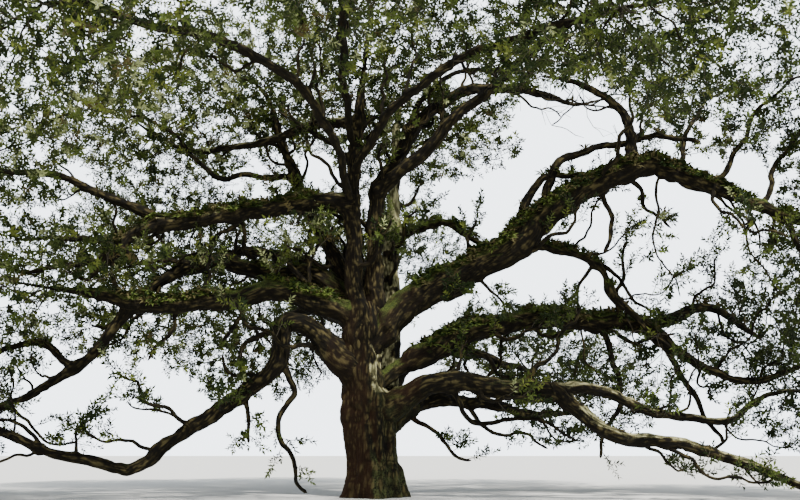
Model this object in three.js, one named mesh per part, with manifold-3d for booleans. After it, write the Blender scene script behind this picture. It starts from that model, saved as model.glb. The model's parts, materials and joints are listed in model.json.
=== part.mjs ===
// A spreading live oak: a short stout trunk, long crooked boughs that sweep low and wide, and a
// broad domed crown of separate masses of foliage. Sizes are in millimetres and angles in degrees,
// +Z is up, +X runs along the widest spread, and the origin is the middle of the flat cut at the
// foot of the trunk.
import * as THREE from "three";
import { mergeVertices } from "three/addons/utils/BufferGeometryUtils.js";
import Module from "manifold-3d";

const wasm = await Module();
wasm.setup();

const trunk = {
  height: 6300,
  girthRadius: 850,
  flareRadius: 290, // what the root flare adds at the ground
  flareHeight: 520, // height over which the flare dies away
  lean: -300, // how far the fork lies towards -X
  crownStart: 0.78, // share of the height where the stem starts to narrow into the fork
  crownRadius: 430,
  lobes: 5,
  lobeDepth: 0.11,
  lobeRun: 0.25, // share of the lobes' depth that runs on above the flare
  lobeTurn: 0.6,
  sides: 18,
  rings: 9,
  ringCrowding: 1.25, // above 1 the rings lie closer together at the foot
};

const limbShape = {
  step: 250, // length of one step of the walk that makes a limb's line
  ringSpacing: 1350,
  swell: 0.3, // how much a limb swells where it leaves its parent
  swellLength: 1.6, // length of the swell, in radii of the limb's base
  taper: 0.85, // below 1 a limb thins faster near its base
  thickSides: 8,
  thinSides: 6,
  thinRadius: 190,
  crook: 0.11,
  crookLength: 2300,
  fewestRings: 3,
  gap: 0.4, // clearance between two solids that meet
};

// Each limb leaves its parent at a share of the parent's length, shifted by `shift`, and follows
// `way`: headings and pitches spread evenly along it. Heading 0 is +X and 90 is +Y; pitch is up.
const limbs = [
  { name: "leader_centre", parent: "trunk", at: 0.8, shift: [-380, -330, 0], length: 8700,
    radius: [330, 170], way: [[180, 84], [180, 89], [200, 88], [0, 84], [20, 80]] },
  { name: "bough_right_high", parent: "trunk", at: 0.79, shift: [150, 0, 0], length: 11200,
    radius: [580, 300],
    way: [[-2, 50], [-6, 35], [-6, 25], [-6, 25], [-8, 43], [-8, 38], [-8, 20], [-8, 11]] },
  { name: "leader_right", parent: "trunk", at: 0.82, shift: [40, 60, 0], length: 14400,
    radius: [330, 140],
    way: [[10, 86], [10, 88], [15, 87], [15, 88], [18, 62], [20, 58], [20, 48], [22, 26], [24, 12],
      [26, 0], [28, 0]] },
  { name: "bough_left_fern", parent: "trunk", at: 0.86, shift: [-250, -150, 0], length: 9400,
    radius: [360, 210],
    way: [[186, 42], [186, 25], [186, 2], [186, -10], [188, -12], [188, 5], [186, 8], [184, 10]] },
  { name: "bough_left_dark", parent: "trunk", at: 0.93, shift: [-200, 200, 0], length: 9000,
    radius: [330, 200],
    way: [[170, 56], [168, 36], [168, 10], [168, 8], [168, 14], [170, -4], [172, -36], [174, -60]] },
  { name: "bough_left_low_crook", parent: "trunk", at: 0.62, shift: [-260, -120, 0], length: 3000,
    radius: [400, 300], way: [[186, 26], [188, 34], [190, 46], [190, 36], [190, -6]] },
  { name: "leader_left", parent: "trunk", at: 0.88, shift: [-150, 320, 0], length: 8600,
    radius: [330, 130], way: [[155, 72], [158, 63], [162, 58], [164, 64], [164, 72], [165, 66]] },
  { name: "leader_back", parent: "trunk", at: 0.56, shift: [330, 560, 0], length: 10200,
    radius: [390, 140], way: [[60, 76], [60, 86], [60, 86], [80, 80], [84, 72]] },
  { name: "bough_right_mid", parent: "trunk", at: 0.56, shift: [250, 0, 0], length: 9900,
    radius: [420, 250],
    way: [[0, 42], [10, 30], [12, 22], [11, 11], [9, 1], [7, -4], [7, -3]] },
  { name: "bough_right_mid_outer", parent: "bough_right_mid", at: 1, length: 5200,
    radius: [220, 110], way: [[16, 14], [22, 24], [24, 8], [26, -22], [26, -34]] },
  { name: "bough_right_mid_fork", parent: "bough_right_mid", at: 0.97, length: 5400,
    radius: [210, 90], way: [[-34, -20], [-28, -38], [-24, -46], [-22, -18], [-20, 4], [-20, 18]] },
  { name: "bough_right_low", parent: "trunk", at: 0.43, shift: [200, -260, 0], length: 5900,
    radius: [370, 255], way: [[-12, 38], [-14, 16], [-12, -3], [-10, -9], [-8, -12]] },
  { name: "bough_right_low_outer", parent: "bough_right_low", at: 1, length: 8600,
    radius: [255, 95],
    way: [[-20, -46], [-16, -34], [-12, -12], [-10, -5], [-12, -20], [-14, -25], [-16, -14],
      [-18, 10]] },
  { name: "bough_right_low_upper", parent: "bough_right_low", at: 0.97, length: 8400,
    radius: [200, 85],
    way: [[14, 26], [16, -14], [14, -18], [14, -12], [12, -4], [12, 32], [12, 16]] },
  { name: "bough_back_low", parent: "trunk", at: 0.35, shift: [330, 330, 0], length: 8600,
    radius: [330, 100], way: [[42, 34], [34, 16], [28, -4], [30, -9], [38, -4], [42, 8]] },
  { name: "limb_right_crest", parent: "bough_right_high", at: 0.92, length: 4700,
    radius: [210, 100], way: [[10, 62], [80, 80], [154, 58], [160, 42], [164, 16]] },
  { name: "bough_right_high_outer", parent: "bough_right_high", at: 1, length: 6300,
    radius: [240, 105], way: [[-12, -20], [-14, -33], [-14, -22], [-10, -30], [-10, -26]] },
  { name: "limb_right_hanging", parent: "bough_right_high", at: 0.5, shift: [0, 160, 180],
    length: 6200, radius: [190, 75],
    way: [[56, 12], [18, 0], [8, -14], [4, -34], [0, -78], [0, -30], [0, -50]] },
  { name: "limb_right_top", parent: "leader_right", at: 0.34, length: 8200,
    radius: [240, 110],
    way: [[-30, 14], [-26, 38], [-24, 44], [-24, 34], [-24, 36], [-24, 34], [-24, 26]] },
  { name: "bough_left_low_sweep", parent: "bough_left_low_crook", at: 1, length: 6900,
    radius: [290, 175],
    way: [[188, -84], [188, -74], [188, -46], [188, -40], [188, -33], [188, -26], [190, -42],
      [192, -50], [196, -2]] },
  { name: "bough_left_low_rise", parent: "bough_left_low_sweep", at: 1, length: 8000,
    radius: [170, 75], way: [[196, 10], [200, 17], [204, 20], [206, 18], [206, 30], [206, 20]] },
  { name: "bough_left_lit", parent: "leader_centre", at: 0.5, length: 8800,
    radius: [310, 190],
    way: [[184, 4], [188, -7], [190, -14], [190, -9], [190, -9], [192, -36], [194, -56]] },
  { name: "limb_left_upper", parent: "bough_left_lit", at: 0.72, length: 5600,
    radius: [180, 80], way: [[194, 22], [200, 26], [206, 14], [208, 0], [208, 4]] },
  { name: "limb_top_left", parent: "leader_centre", at: 0.86, length: 7400,
    radius: [190, 85], way: [[170, 6], [160, -10], [152, -4], [152, 4], [156, 14]] },
  { name: "bough_left_dark_outer", parent: "bough_left_fern", at: 0.8, length: 8000,
    radius: [200, 85],
    way: [[176, -36], [168, -54], [162, -36], [160, -20], [160, -22], [160, -10], [160, 0]] },
  { name: "bough_left_back", parent: "trunk", at: 0.84, shift: [-160, 420, 0], length: 11000,
    radius: [330, 110], way: [[138, 56], [140, 42], [142, 24], [144, 8], [144, 0], [142, 6]] },
  { name: "bough_back_left", parent: "trunk", at: 0.76, shift: [-120, 420, 0], length: 10800,
    radius: [350, 110], way: [[118, 38], [118, 26], [120, 10], [120, -2], [116, -10], [114, -2]] },
  { name: "bough_back", parent: "trunk", at: 0.84, shift: [60, 420, 0], length: 10600,
    radius: [340, 110], way: [[96, 52], [98, 40], [96, 28], [92, 12], [92, 2], [92, 6]] },
  { name: "bough_back_right", parent: "trunk", at: 0.5, shift: [260, 420, 0], length: 11400,
    radius: [340, 105], way: [[62, 40], [58, 24], [54, 8], [52, -2], [54, -8], [56, 2]] },
  { name: "bough_front_left", parent: "leader_centre", at: 0.5, length: 11400,
    radius: [240, 95], way: [[-98, 42], [-106, 34], [-120, 22], [-138, 8], [-148, -4], [-148, 2]] },
  { name: "bough_front_right", parent: "leader_centre", at: 0.62, length: 10800,
    radius: [220, 95], way: [[-72, 32], [-60, 24], [-50, 14], [-44, 5], [-38, -4], [-40, 2]] },
  { name: "bough_front", parent: "leader_centre", at: 0.74, length: 8600,
    radius: [200, 90], way: [[-96, 28], [-94, 24], [-90, 18], [-86, 8], [-88, 0], [-88, 4]] },
];

// Each mass of foliage grows from the tip of its bough. Its middle lies `ahead` of the tip and
// `lift` above it, and `reach` is how far it spreads along, across and above.
const masses = [
  { name: "foliage_crown_top", bough: "leader_centre",
    ahead: 300, lift: 1900, reach: [4700, 4500, 2700] },
  { name: "foliage_left_top", bough: "leader_left",
    ahead: 700, lift: 1300, reach: [4300, 4500, 2500] },
  { name: "foliage_right_top", bough: "limb_right_top",
    ahead: 1700, lift: 700, reach: [4500, 4100, 2300] },
  { name: "foliage_right_shoulder", bough: "leader_right",
    ahead: 2300, lift: 300, reach: [4500, 4300, 2100] },
  { name: "foliage_right_crest", bough: "limb_right_crest",
    ahead: 900, lift: 300, reach: [2900, 2700, 1500] },
  { name: "foliage_right_end", bough: "bough_right_high_outer",
    ahead: 1300, lift: 700, reach: [3300, 6900, 3100] },
  { name: "foliage_right_hanging", bough: "limb_right_hanging",
    ahead: 300, lift: -900, reach: [2000, 2100, 1600] },
  { name: "foliage_right_middle", bough: "bough_right_mid_outer",
    ahead: 900, lift: 300, reach: [3500, 3700, 2300] },
  { name: "foliage_right_fork", bough: "bough_right_mid_fork",
    ahead: 1700, lift: 300, reach: [2900, 3700, 1900] },
  { name: "foliage_right_low", bough: "bough_right_low_upper",
    ahead: 1500, lift: -200, reach: [2500, 3300, 1400] },
  { name: "foliage_right_ground", bough: "bough_right_low_outer",
    ahead: 1500, lift: 700, reach: [2500, 3100, 1200] },
  { name: "foliage_back_low", bough: "bough_back_low",
    ahead: 1300, lift: 500, reach: [3300, 3300, 1600] },
  { name: "foliage_back_right", bough: "bough_back_right",
    ahead: 900, lift: 700, reach: [4500, 5100, 2500] },
  { name: "foliage_back", bough: "bough_back",
    ahead: 900, lift: 1100, reach: [4500, 5100, 3500] },
  { name: "foliage_back_left", bough: "bough_back_left",
    ahead: 900, lift: 300, reach: [4300, 4900, 3100] },
  { name: "foliage_back_top", bough: "leader_back",
    ahead: 2100, lift: 900, reach: [4500, 5300, 2700] },
  { name: "foliage_left_back", bough: "bough_left_back",
    ahead: 900, lift: 900, reach: [4500, 4900, 3100] },
  { name: "foliage_left_shoulder", bough: "limb_left_upper",
    ahead: 1300, lift: 500, reach: [3900, 6500, 2900] },
  { name: "foliage_left_end", bough: "bough_left_dark",
    ahead: 1300, lift: -200, reach: [2900, 3500, 2000] },
  { name: "foliage_left_drooping", bough: "bough_left_lit",
    ahead: 1300, lift: 100, reach: [2500, 3500, 1500] },
  { name: "foliage_left_fern", bough: "bough_left_fern",
    ahead: 2300, lift: 300, reach: [3300, 4100, 2100] },
  { name: "foliage_left_dark", bough: "bough_left_dark_outer",
    ahead: 1300, lift: 400, reach: [3100, 3900, 1900] },
  { name: "foliage_left_ground", bough: "bough_left_low_rise",
    ahead: 700, lift: 300, reach: [3100, 4700, 2300] },
  { name: "foliage_top_left", bough: "limb_top_left",
    ahead: 1500, lift: 900, reach: [3900, 4500, 2300] },
  { name: "foliage_front_left", bough: "bough_front_left",
    ahead: 1300, lift: -300, reach: [4700, 5100, 2900] },
  { name: "foliage_front_right", bough: "bough_front_right",
    ahead: 1300, lift: -100, reach: [4900, 4900, 2900] },
  { name: "foliage_front", bough: "bough_front",
    ahead: 500, lift: 500, reach: [4300, 4300, 2300] },
];

const growth = {
  sprays: 16, // twig ends in one mass
  candidates: 14, // random places tried for each twig end
  elbow: 0.4, // share of the way to the middle where the stem bends
  stemShare: 0.85, // the stem's radius as a share of its bough's tip
  hollow: 0.3, // share of the reach around the middle with no twig ends
  fill: 0.76, // share of the reach where the outermost twig ends lie
  balance: 0.35, // how much a long way back to the stem counts against a twig
  twigRadius: 26,
  twigSides: 3,
  rootSwell: 1.15,
  rootSink: 90, // how far a twig's root is sunk back into the twig that carries it
  groundClearance: 350,
  limbClearance: 110,
  endClearance: 330,
  spaceMargin: 0.05,
  overhang: 1.12, // how far past its reach a leaf of a mass may stand, as a share
  leafTries: 8, // directions tried for a leaf before its place stays bare
  leafSplay: 1.1, // how far a leaf may turn away from its twig
  leafLevel: 2.4, // the larger, the more leaves lie level
  leafLength: 2100,
  shortest: 0.75, // a leaf's length varies from this share
  variation: 0.4,
  leafWidth: 1150,
  leafThickness: 80,
  widest: 0.42, // share of a leaf's length where it is widest
};

// Detail finer than these is taken off a solid, the coarsest first.
const slivers = { limb: [0.05, 0.02, 0.01], foliage: [5, 4, 3, 2, 1] };

const roughnesses = { bark: 0.95, leaf: 0.6 };

const seeds = { limb: 101, limbStep: 17, foliage: 9001, foliageStep: 29 };

const colours = { bark: 0x5b4a38, leaf: 0x4e6126 };

function materialOf(color, roughness) {
  return new THREE.MeshStandardMaterial({ color, roughness, metalness: 0 });
}

// A stream of repeatable random numbers from 0 to 1.
function seededRandom(seed) {
  let state = seed >>> 0;
  return () => {
    state = (state + 0x6d2b79f5) >>> 0;
    let mixed = Math.imul(state ^ (state >>> 15), 1 | state);
    mixed = (mixed + Math.imul(mixed ^ (mixed >>> 7), 61 | mixed)) ^ mixed;
    return ((mixed ^ (mixed >>> 14)) >>> 0) / 4294967296;
  };
}

function directionOf([heading, pitch]) {
  const h = THREE.MathUtils.degToRad(heading);
  const p = THREE.MathUtils.degToRad(pitch);
  return new THREE.Vector3(Math.cos(p) * Math.cos(h), Math.cos(p) * Math.sin(h), Math.sin(p));
}

// The direction of a limb at a share of its length, between the two nearest stated directions.
function directionAt(way, share) {
  const place = Math.min(share, 1) * (way.length - 1);
  const before = Math.min(Math.floor(place), way.length - 2);
  return directionOf(way[before]).lerp(directionOf(way[before + 1]), place - before).normalize();
}

// A limb's line: steps along its way, swayed by two waves so that it runs crooked.
function walkLimb(limb, start, seed) {
  const random = seededRandom(seed);
  const phases = [random(), random(), random(), random()].map((value) => value * 2 * Math.PI);
  const steps = Math.round(limb.length / limbShape.step);
  const step = limb.length / steps;
  const points = [start.clone()];
  const up = new THREE.Vector3(0, 0, 1);
  for (let i = 0; i < steps; i++) {
    const along = directionAt(limb.way, (i + 0.5) / steps);
    const side = new THREE.Vector3().crossVectors(along, up);
    if (side.lengthSq() < 0.01) side.set(1, 0, 0);
    side.normalize();
    const over = new THREE.Vector3().crossVectors(side, along);
    const turn = (2 * Math.PI * (i + 0.5) * step) / limbShape.crookLength;
    const sway = Math.sin(turn + phases[0]) + 0.5 * Math.sin(1.9 * turn + phases[1]);
    const heave = Math.sin(0.8 * turn + phases[2]) + 0.5 * Math.sin(2.3 * turn + phases[3]);
    along.addScaledVector(side, limbShape.crook * sway).addScaledVector(over, limbShape.crook * heave);
    points.push(points[i].clone().addScaledVector(along.normalize(), step));
  }
  return points;
}

// A closed geometry as a solid that can be joined and cut.
function solidOf(geometry) {
  const bare = geometry.clone();
  bare.deleteAttribute("normal");
  bare.deleteAttribute("uv");
  const merged = mergeVertices(bare, 1e-3);
  return new wasm.Manifold(
    new wasm.Mesh({
      numProp: 3,
      vertProperties: new Float32Array(merged.attributes.position.array),
      triVerts: new Uint32Array(merged.index.array),
    })
  );
}

// The largest body of a solid, without the slivers that joining or cutting left. The first
// tolerance that leaves no two corners in one place is the one used.
function largestPiece(solid, tolerances) {
  for (const tolerance of tolerances) {
    const pieces = solid.asOriginal().simplify(tolerance).decompose();
    const piece = pieces.sort((a, b) => b.volume() - a.volume())[0];
    const corners = new THREE.BufferGeometry();
    const mesh = piece.getMesh();
    corners.setAttribute("position", new THREE.BufferAttribute(mesh.vertProperties, 3));
    if (mergeVertices(corners, 1e-4).getAttribute("position").count === mesh.numVert) return piece;
  }
  throw new Error("two corners of a solid stay in one place");
}

function geometryOf(solid) {
  const mesh = solid.getMesh();
  const geometry = new THREE.BufferGeometry();
  geometry.setAttribute("position", new THREE.BufferAttribute(mesh.vertProperties, 3));
  geometry.setIndex(new THREE.BufferAttribute(mesh.triVerts, 1));
  geometry.computeVertexNormals();
  return geometry;
}

// A closed bar through a row of stations: each has a centre and the two half axes of its section.
function loft(stations, sides) {
  const bar = new THREE.CylinderGeometry(1, 1, 1, sides, stations.length - 1);
  const place = bar.getAttribute("position");
  for (let i = 0; i < place.count; i++) {
    const ring = Math.round((place.getY(i) + 0.5) * (stations.length - 1));
    const { centre, across, over } = stations[ring];
    const spot = centre.clone().addScaledVector(across, place.getX(i));
    spot.addScaledVector(over, place.getZ(i));
    place.setXYZ(i, spot.x, spot.y, spot.z);
  }
  return bar;
}

// A closed round bar bent along a line, with its radius given by a share of its length.
function barAlong(points, sides, rings, radiusAt) {
  const curve = new THREE.CatmullRomCurve3(points);
  const frames = curve.computeFrenetFrames(rings, false);
  const stations = frames.normals.map((normal, ring) => ({
    centre: curve.getPoint(ring / rings),
    across: normal.clone().multiplyScalar(radiusAt(ring / rings)),
    over: frames.binormals[ring].clone().multiplyScalar(-radiusAt(ring / rings)),
  }));
  return loft(stations, sides);
}

function trunkRadius(share, angle) {
  const flare = Math.exp((-share * trunk.height) / trunk.flareHeight);
  const wave = Math.cos(trunk.lobes * angle + trunk.lobeTurn);
  const lobe = 1 + trunk.lobeDepth * (trunk.lobeRun + flare) * wave;
  const narrowing = THREE.MathUtils.smoothstep(share, trunk.crownStart, 1);
  const bole = THREE.MathUtils.lerp(trunk.girthRadius, trunk.crownRadius, narrowing);
  return (bole + trunk.flareRadius * flare) * lobe;
}

function trunkPoint(share) {
  return new THREE.Vector3(trunk.lean * share, 0, trunk.height * share);
}

// The trunk's rings are level and closer together at the flare, so its foot is a flat cut.
function trunkGeometry(extra) {
  const stem = new THREE.CylinderGeometry(1, 1, 1, trunk.sides, trunk.rings);
  const place = stem.getAttribute("position");
  for (let i = 0; i < place.count; i++) {
    const share = Math.pow(place.getY(i) + 0.5, trunk.ringCrowding);
    const rim = Math.hypot(place.getX(i), place.getZ(i));
    const angle = Math.atan2(-place.getZ(i), place.getX(i));
    const radius = rim * (trunkRadius(share, angle) + extra);
    const spot = trunkPoint(share);
    spot.x += radius * Math.cos(angle);
    spot.y += radius * Math.sin(angle);
    if (share === 1) spot.z += extra;
    place.setXYZ(i, spot.x, spot.y, spot.z);
  }
  return stem;
}

function limbRadius(limb, share) {
  const taper = THREE.MathUtils.lerp(...limb.radius, Math.pow(share, limbShape.taper));
  const fromParent = (share * limb.length) / (limbShape.swellLength * limb.radius[0]);
  const swell = limb.at < 1 ? limbShape.swell * Math.exp(-fromParent) : 0;
  return taper * (1 + swell);
}

// A line whose two ends are drawn out by a length.
function drawnOut(line, length) {
  const last = line.length - 1;
  const tail = line[0].clone().sub(line[1]).setLength(length).add(line[0]);
  const tip = line[last].clone().sub(line[last - 1]).setLength(length).add(line[last]);
  return [tail, ...line.slice(1, last), tip];
}

// The limb's solid shape, grown all round by `extra`.
function limbGeometry(limb, line, extra) {
  const rings = Math.max(limbShape.fewestRings, Math.round(limb.length / limbShape.ringSpacing));
  const sides = limb.radius[0] > limbShape.thinRadius ? limbShape.thickSides : limbShape.thinSides;
  const route = drawnOut(line, extra);
  return barAlong(route, sides, rings, (share) => limbRadius(limb, share) + extra);
}

// The distance from a point to the nearest limb's bark, along every limb's line.
function clearanceAt(point, lines) {
  let nearest = Infinity;
  for (const { line, limb } of lines)
    for (let i = 0; i < line.length; i++) {
      const away = line[i].distanceTo(point) - limbRadius(limb, i / (line.length - 1));
      nearest = Math.min(nearest, away);
    }
  return nearest;
}

// How far out a point lies in a mass: 0 at its middle and 1 at the edge of its reach.
function depthIn(space, point) {
  const offset = point.clone().sub(space.middle);
  const along = offset.dot(space.along) / space.reach[0];
  const across = offset.dot(space.across) / space.reach[1];
  const above = offset.z / space.reach[2];
  return Math.hypot(along, across, above);
}

function holds(space, spaces, point, edge) {
  const own = depthIn(space, point);
  if (own > edge || point.z < growth.groundClearance) return false;
  return spaces.every((other) => other === space || depthIn(other, point) > own + growth.spaceMargin);
}

// Twig ends spread evenly through the mass: each is the best of several random places.
function twigEnds(space, spaces, lines, random) {
  const ends = [];
  for (let tries = 0; ends.length < growth.sprays && tries < 4 * growth.sprays; tries++) {
    let best = null;
    let bestGap = -1;
    for (let i = 0; i < growth.candidates; i++) {
      const turn = 2 * Math.PI * random();
      const rise = 2 * random() - 1;
      const out = Math.cbrt(THREE.MathUtils.lerp(growth.hollow ** 3, growth.fill ** 3, random()));
      const level = Math.sqrt(1 - rise * rise) * out;
      const place = space.middle
        .clone()
        .addScaledVector(space.along, space.reach[0] * level * Math.cos(turn))
        .addScaledVector(space.across, space.reach[1] * level * Math.sin(turn));
      place.z += space.reach[2] * rise * out;
      if (!holds(space, spaces, place, 1)) continue;
      if (clearanceAt(place, lines) < growth.endClearance) continue;
      const gap = Math.min(1e9, ...ends.map((end) => end.distanceTo(place)));
      if (gap > bestGap) [best, bestGap] = [place, gap];
    }
    if (best) ends.push(best);
  }
  return ends;
}

function twigIsClear(from, to, space, spaces, lines) {
  for (let share = 0.15; share <= 1; share += 0.17) {
    const spot = from.clone().lerp(to, share);
    if (clearanceAt(spot, lines) < growth.limbClearance) return false;
    if (!holds(space, spaces, spot, growth.overhang)) return false;
  }
  return true;
}

// Joins the twig ends to the stem, nearest first, and counts a long way back against a place.
function joinTwigs(space, ends, spaces, lines) {
  const { stem } = space;
  const nodes = stem.map((place, i) => ({ place, parent: i - 1, path: place.distanceTo(stem[0]) }));
  const waiting = ends.slice();
  while (waiting.length) {
    let best = null;
    for (let w = 0; w < waiting.length; w++)
      for (let n = 1; n < nodes.length; n++) {
        const span = nodes[n].place.distanceTo(waiting[w]);
        const cost = span + growth.balance * nodes[n].path;
        if (best && cost >= best.cost) continue;
        if (!twigIsClear(nodes[n].place, waiting[w], space, spaces, lines)) continue;
        best = { cost, w, n, span };
      }
    if (!best) break;
    const place = waiting.splice(best.w, 1)[0];
    nodes.push({ place, parent: best.n, path: nodes[best.n].path + best.span });
  }
  return nodes;
}

// Every twig is as thick as those it carries call for.
function twigRadii(nodes, most) {
  const areas = nodes.map(() => growth.twigRadius ** 2);
  for (let i = nodes.length - 1; i > 0; i--) areas[nodes[i].parent] += areas[i];
  return areas.map((area) => Math.min(most, Math.sqrt(area)));
}

// A twig that runs on into one leaf, which stands for a spray: a thin blade with a pointed tip.
function sprayStations(from, to, radii, random) {
  const twigLine = to.clone().sub(from).normalize();
  const splay = new THREE.Vector3(random() - 0.5, random() - 0.5, 0.6 * (random() - 0.5));
  const direction = twigLine
    .clone()
    .addScaledVector(splay.normalize(), growth.leafSplay * random())
    .normalize();
  const length = growth.leafLength * (growth.shortest + growth.variation * random());
  const roll = 2 * Math.PI * random();
  const side = new THREE.Vector3(Math.cos(roll), Math.sin(roll), growth.leafLevel * random());
  const station = (centre, onward, halfWidth, halfThickness) => {
    const across = new THREE.Vector3().crossVectors(side, onward).normalize();
    const over = new THREE.Vector3().crossVectors(across, onward).normalize();
    return {
      centre,
      across: across.multiplyScalar(halfWidth),
      over: over.multiplyScalar(halfThickness),
    };
  };
  const belly = to.clone().addScaledVector(direction, growth.widest * length);
  const tip = to.clone().addScaledVector(direction, length);
  const width = (growth.leafWidth / growth.leafLength) * length;
  return [
    station(from.clone(), twigLine, radii[0], radii[0]),
    station(to.clone(), twigLine, radii[1], radii[1]),
    station(belly, direction, width / 2, growth.leafThickness / 2),
    station(tip, direction, 0, 0),
  ];
}

// Points along a leaf's midrib and both its edges must lie in the mass and clear of the limbs.
function leafFits(stations, space, spaces, lines) {
  const [, root, belly, tip] = stations;
  for (const side of [-1, 0, 1]) {
    const edge = belly.centre.clone().addScaledVector(belly.across, 1.1 * side);
    for (const share of [0.33, 0.67, 1])
      for (const end of [root.centre, tip.centre]) {
        const spot = edge.clone().lerp(end, share);
        if (!holds(space, spaces, spot, growth.overhang)) return false;
        if (clearanceAt(spot, lines) < growth.limbClearance) return false;
      }
  }
  return true;
}

// A mass of foliage: its stem, the twigs that branch from it and the leaves on them, in one solid.
function massSolid(space, spaces, lines, seed) {
  const random = seededRandom(seed);
  const nodes = joinTwigs(space, twigEnds(space, spaces, lines, random), spaces, lines);
  const radii = twigRadii(nodes, space.stemRadius);
  const stemBar = barAlong(space.stem, growth.twigSides, space.stem.length - 1, (share) =>
    THREE.MathUtils.lerp(space.stemRadius, radii[space.stem.length - 1], share)
  );
  let solid = solidOf(stemBar);
  for (let i = space.stem.length; i < nodes.length; i++) {
    const parent = nodes[nodes[i].parent];
    const inward = nodes[parent.parent].place.clone().sub(parent.place).normalize();
    const sink = growth.rootSink * (0.8 + 0.4 * random());
    const from = parent.place.clone().addScaledVector(inward, sink);
    const to = nodes[i].place;
    const base = Math.min(growth.rootSwell * radii[i], radii[nodes[i].parent]);
    let stations = null;
    for (let tries = 0; tries < growth.leafTries && !stations; tries++) {
      const trial = sprayStations(from, to, [base, radii[i]], random);
      if (leafFits(trial, space, spaces, lines)) stations = trial;
      else if (tries === growth.leafTries - 1) stations = trial.slice(0, 2);
    }
    solid = solid.add(solidOf(loft(stations, growth.twigSides)));
  }
  return largestPiece(solid, slivers.foliage);
}

const lines = [];
const lineOf = {};
limbs.forEach((limb, index) => {
  const parentLine = lineOf[limb.parent];
  const start = parentLine
    ? parentLine[Math.round(limb.at * (parentLine.length - 1))].clone()
    : trunkPoint(limb.at);
  if (limb.shift) start.add(new THREE.Vector3(...limb.shift));
  if (limb.at === 1) {
    const end = parentLine.length - 1;
    const onward = parentLine[end].clone().sub(parentLine[end - 1]).normalize();
    start.addScaledVector(onward, limbShape.gap);
  }
  lineOf[limb.name] = walkLimb(limb, start, seeds.limb + seeds.limbStep * index);
  lines.push({ limb, line: lineOf[limb.name] });
});

const tree = new THREE.Group();
tree.name = "live_oak";

function addMesh(name, solid, material) {
  const mesh = new THREE.Mesh(geometryOf(solid), material);
  mesh.name = name;
  tree.add(mesh);
}

const barkMaterial = materialOf(colours.bark, roughnesses.bark);
addMesh("trunk", solidOf(trunkGeometry(0)), barkMaterial);

// A limb gives way to the trunk and to every limb before it.
const grown = [solidOf(trunkGeometry(limbShape.gap))];
for (const { limb, line } of lines) {
  let solid = solidOf(limbGeometry(limb, line, 0));
  for (const earlier of grown) solid = solid.subtract(earlier);
  addMesh(limb.name, largestPiece(solid, slivers.limb), barkMaterial);
  grown.push(solidOf(limbGeometry(limb, line, limbShape.gap)));
}

const spaces = masses.map((mass) => {
  const { limb, line } = lines.find((entry) => entry.limb.name === mass.bough);
  const tip = line[line.length - 1];
  const onward = tip.clone().sub(line[line.length - 2]).normalize();
  const along = onward.clone().setZ(0).normalize();
  const across = new THREE.Vector3(-along.y, along.x, 0);
  const middle = tip.clone().addScaledVector(along, mass.ahead);
  middle.z += mass.lift;
  const foot = tip.clone().addScaledVector(onward, limbShape.gap);
  const span = middle.distanceTo(foot);
  const elbow = foot.clone().addScaledVector(onward, growth.elbow * span);
  const stemRadius = growth.stemShare * limb.radius[1];
  return { ...mass, along, across, middle, stem: [foot, elbow, middle], stemRadius };
});

const leafMaterial = materialOf(colours.leaf, roughnesses.leaf);
spaces.forEach((space, index) => {
  const seed = seeds.foliage + seeds.foliageStep * index;
  addMesh(space.name, massSolid(space, spaces, lines, seed), leafMaterial);
});

export default tree;
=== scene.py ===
import json
import math

import bmesh
import bpy
import numpy as np
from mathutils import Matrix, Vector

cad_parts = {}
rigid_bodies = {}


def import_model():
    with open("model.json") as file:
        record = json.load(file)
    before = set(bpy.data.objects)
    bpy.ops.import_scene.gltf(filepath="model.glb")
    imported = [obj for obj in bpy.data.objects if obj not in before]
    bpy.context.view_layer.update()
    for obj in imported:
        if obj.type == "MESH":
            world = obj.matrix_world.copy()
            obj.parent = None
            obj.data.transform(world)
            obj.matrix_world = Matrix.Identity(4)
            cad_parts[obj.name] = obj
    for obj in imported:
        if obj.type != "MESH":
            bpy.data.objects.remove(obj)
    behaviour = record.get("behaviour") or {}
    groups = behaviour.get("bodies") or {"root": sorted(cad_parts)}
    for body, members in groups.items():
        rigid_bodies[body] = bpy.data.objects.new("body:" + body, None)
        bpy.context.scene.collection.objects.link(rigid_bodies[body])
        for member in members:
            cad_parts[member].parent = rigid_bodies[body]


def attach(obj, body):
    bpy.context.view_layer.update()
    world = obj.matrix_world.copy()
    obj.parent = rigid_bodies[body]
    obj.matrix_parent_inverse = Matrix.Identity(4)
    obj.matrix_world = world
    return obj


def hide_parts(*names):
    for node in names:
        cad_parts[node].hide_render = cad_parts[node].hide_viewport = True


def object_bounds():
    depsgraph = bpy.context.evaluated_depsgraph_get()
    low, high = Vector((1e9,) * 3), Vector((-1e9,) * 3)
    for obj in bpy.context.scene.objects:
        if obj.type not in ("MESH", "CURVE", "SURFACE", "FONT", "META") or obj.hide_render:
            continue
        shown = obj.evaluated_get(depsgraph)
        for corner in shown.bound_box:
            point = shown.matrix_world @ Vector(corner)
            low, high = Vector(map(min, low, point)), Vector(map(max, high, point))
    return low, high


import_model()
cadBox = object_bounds()
print("frame loaded")

# Sizes in the tables are in millimetres and angles in degrees, as in the part's source.
mm = 0.001
eye = [0.8, -29.1, 1.45]  # the camera's place, in metres

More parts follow.
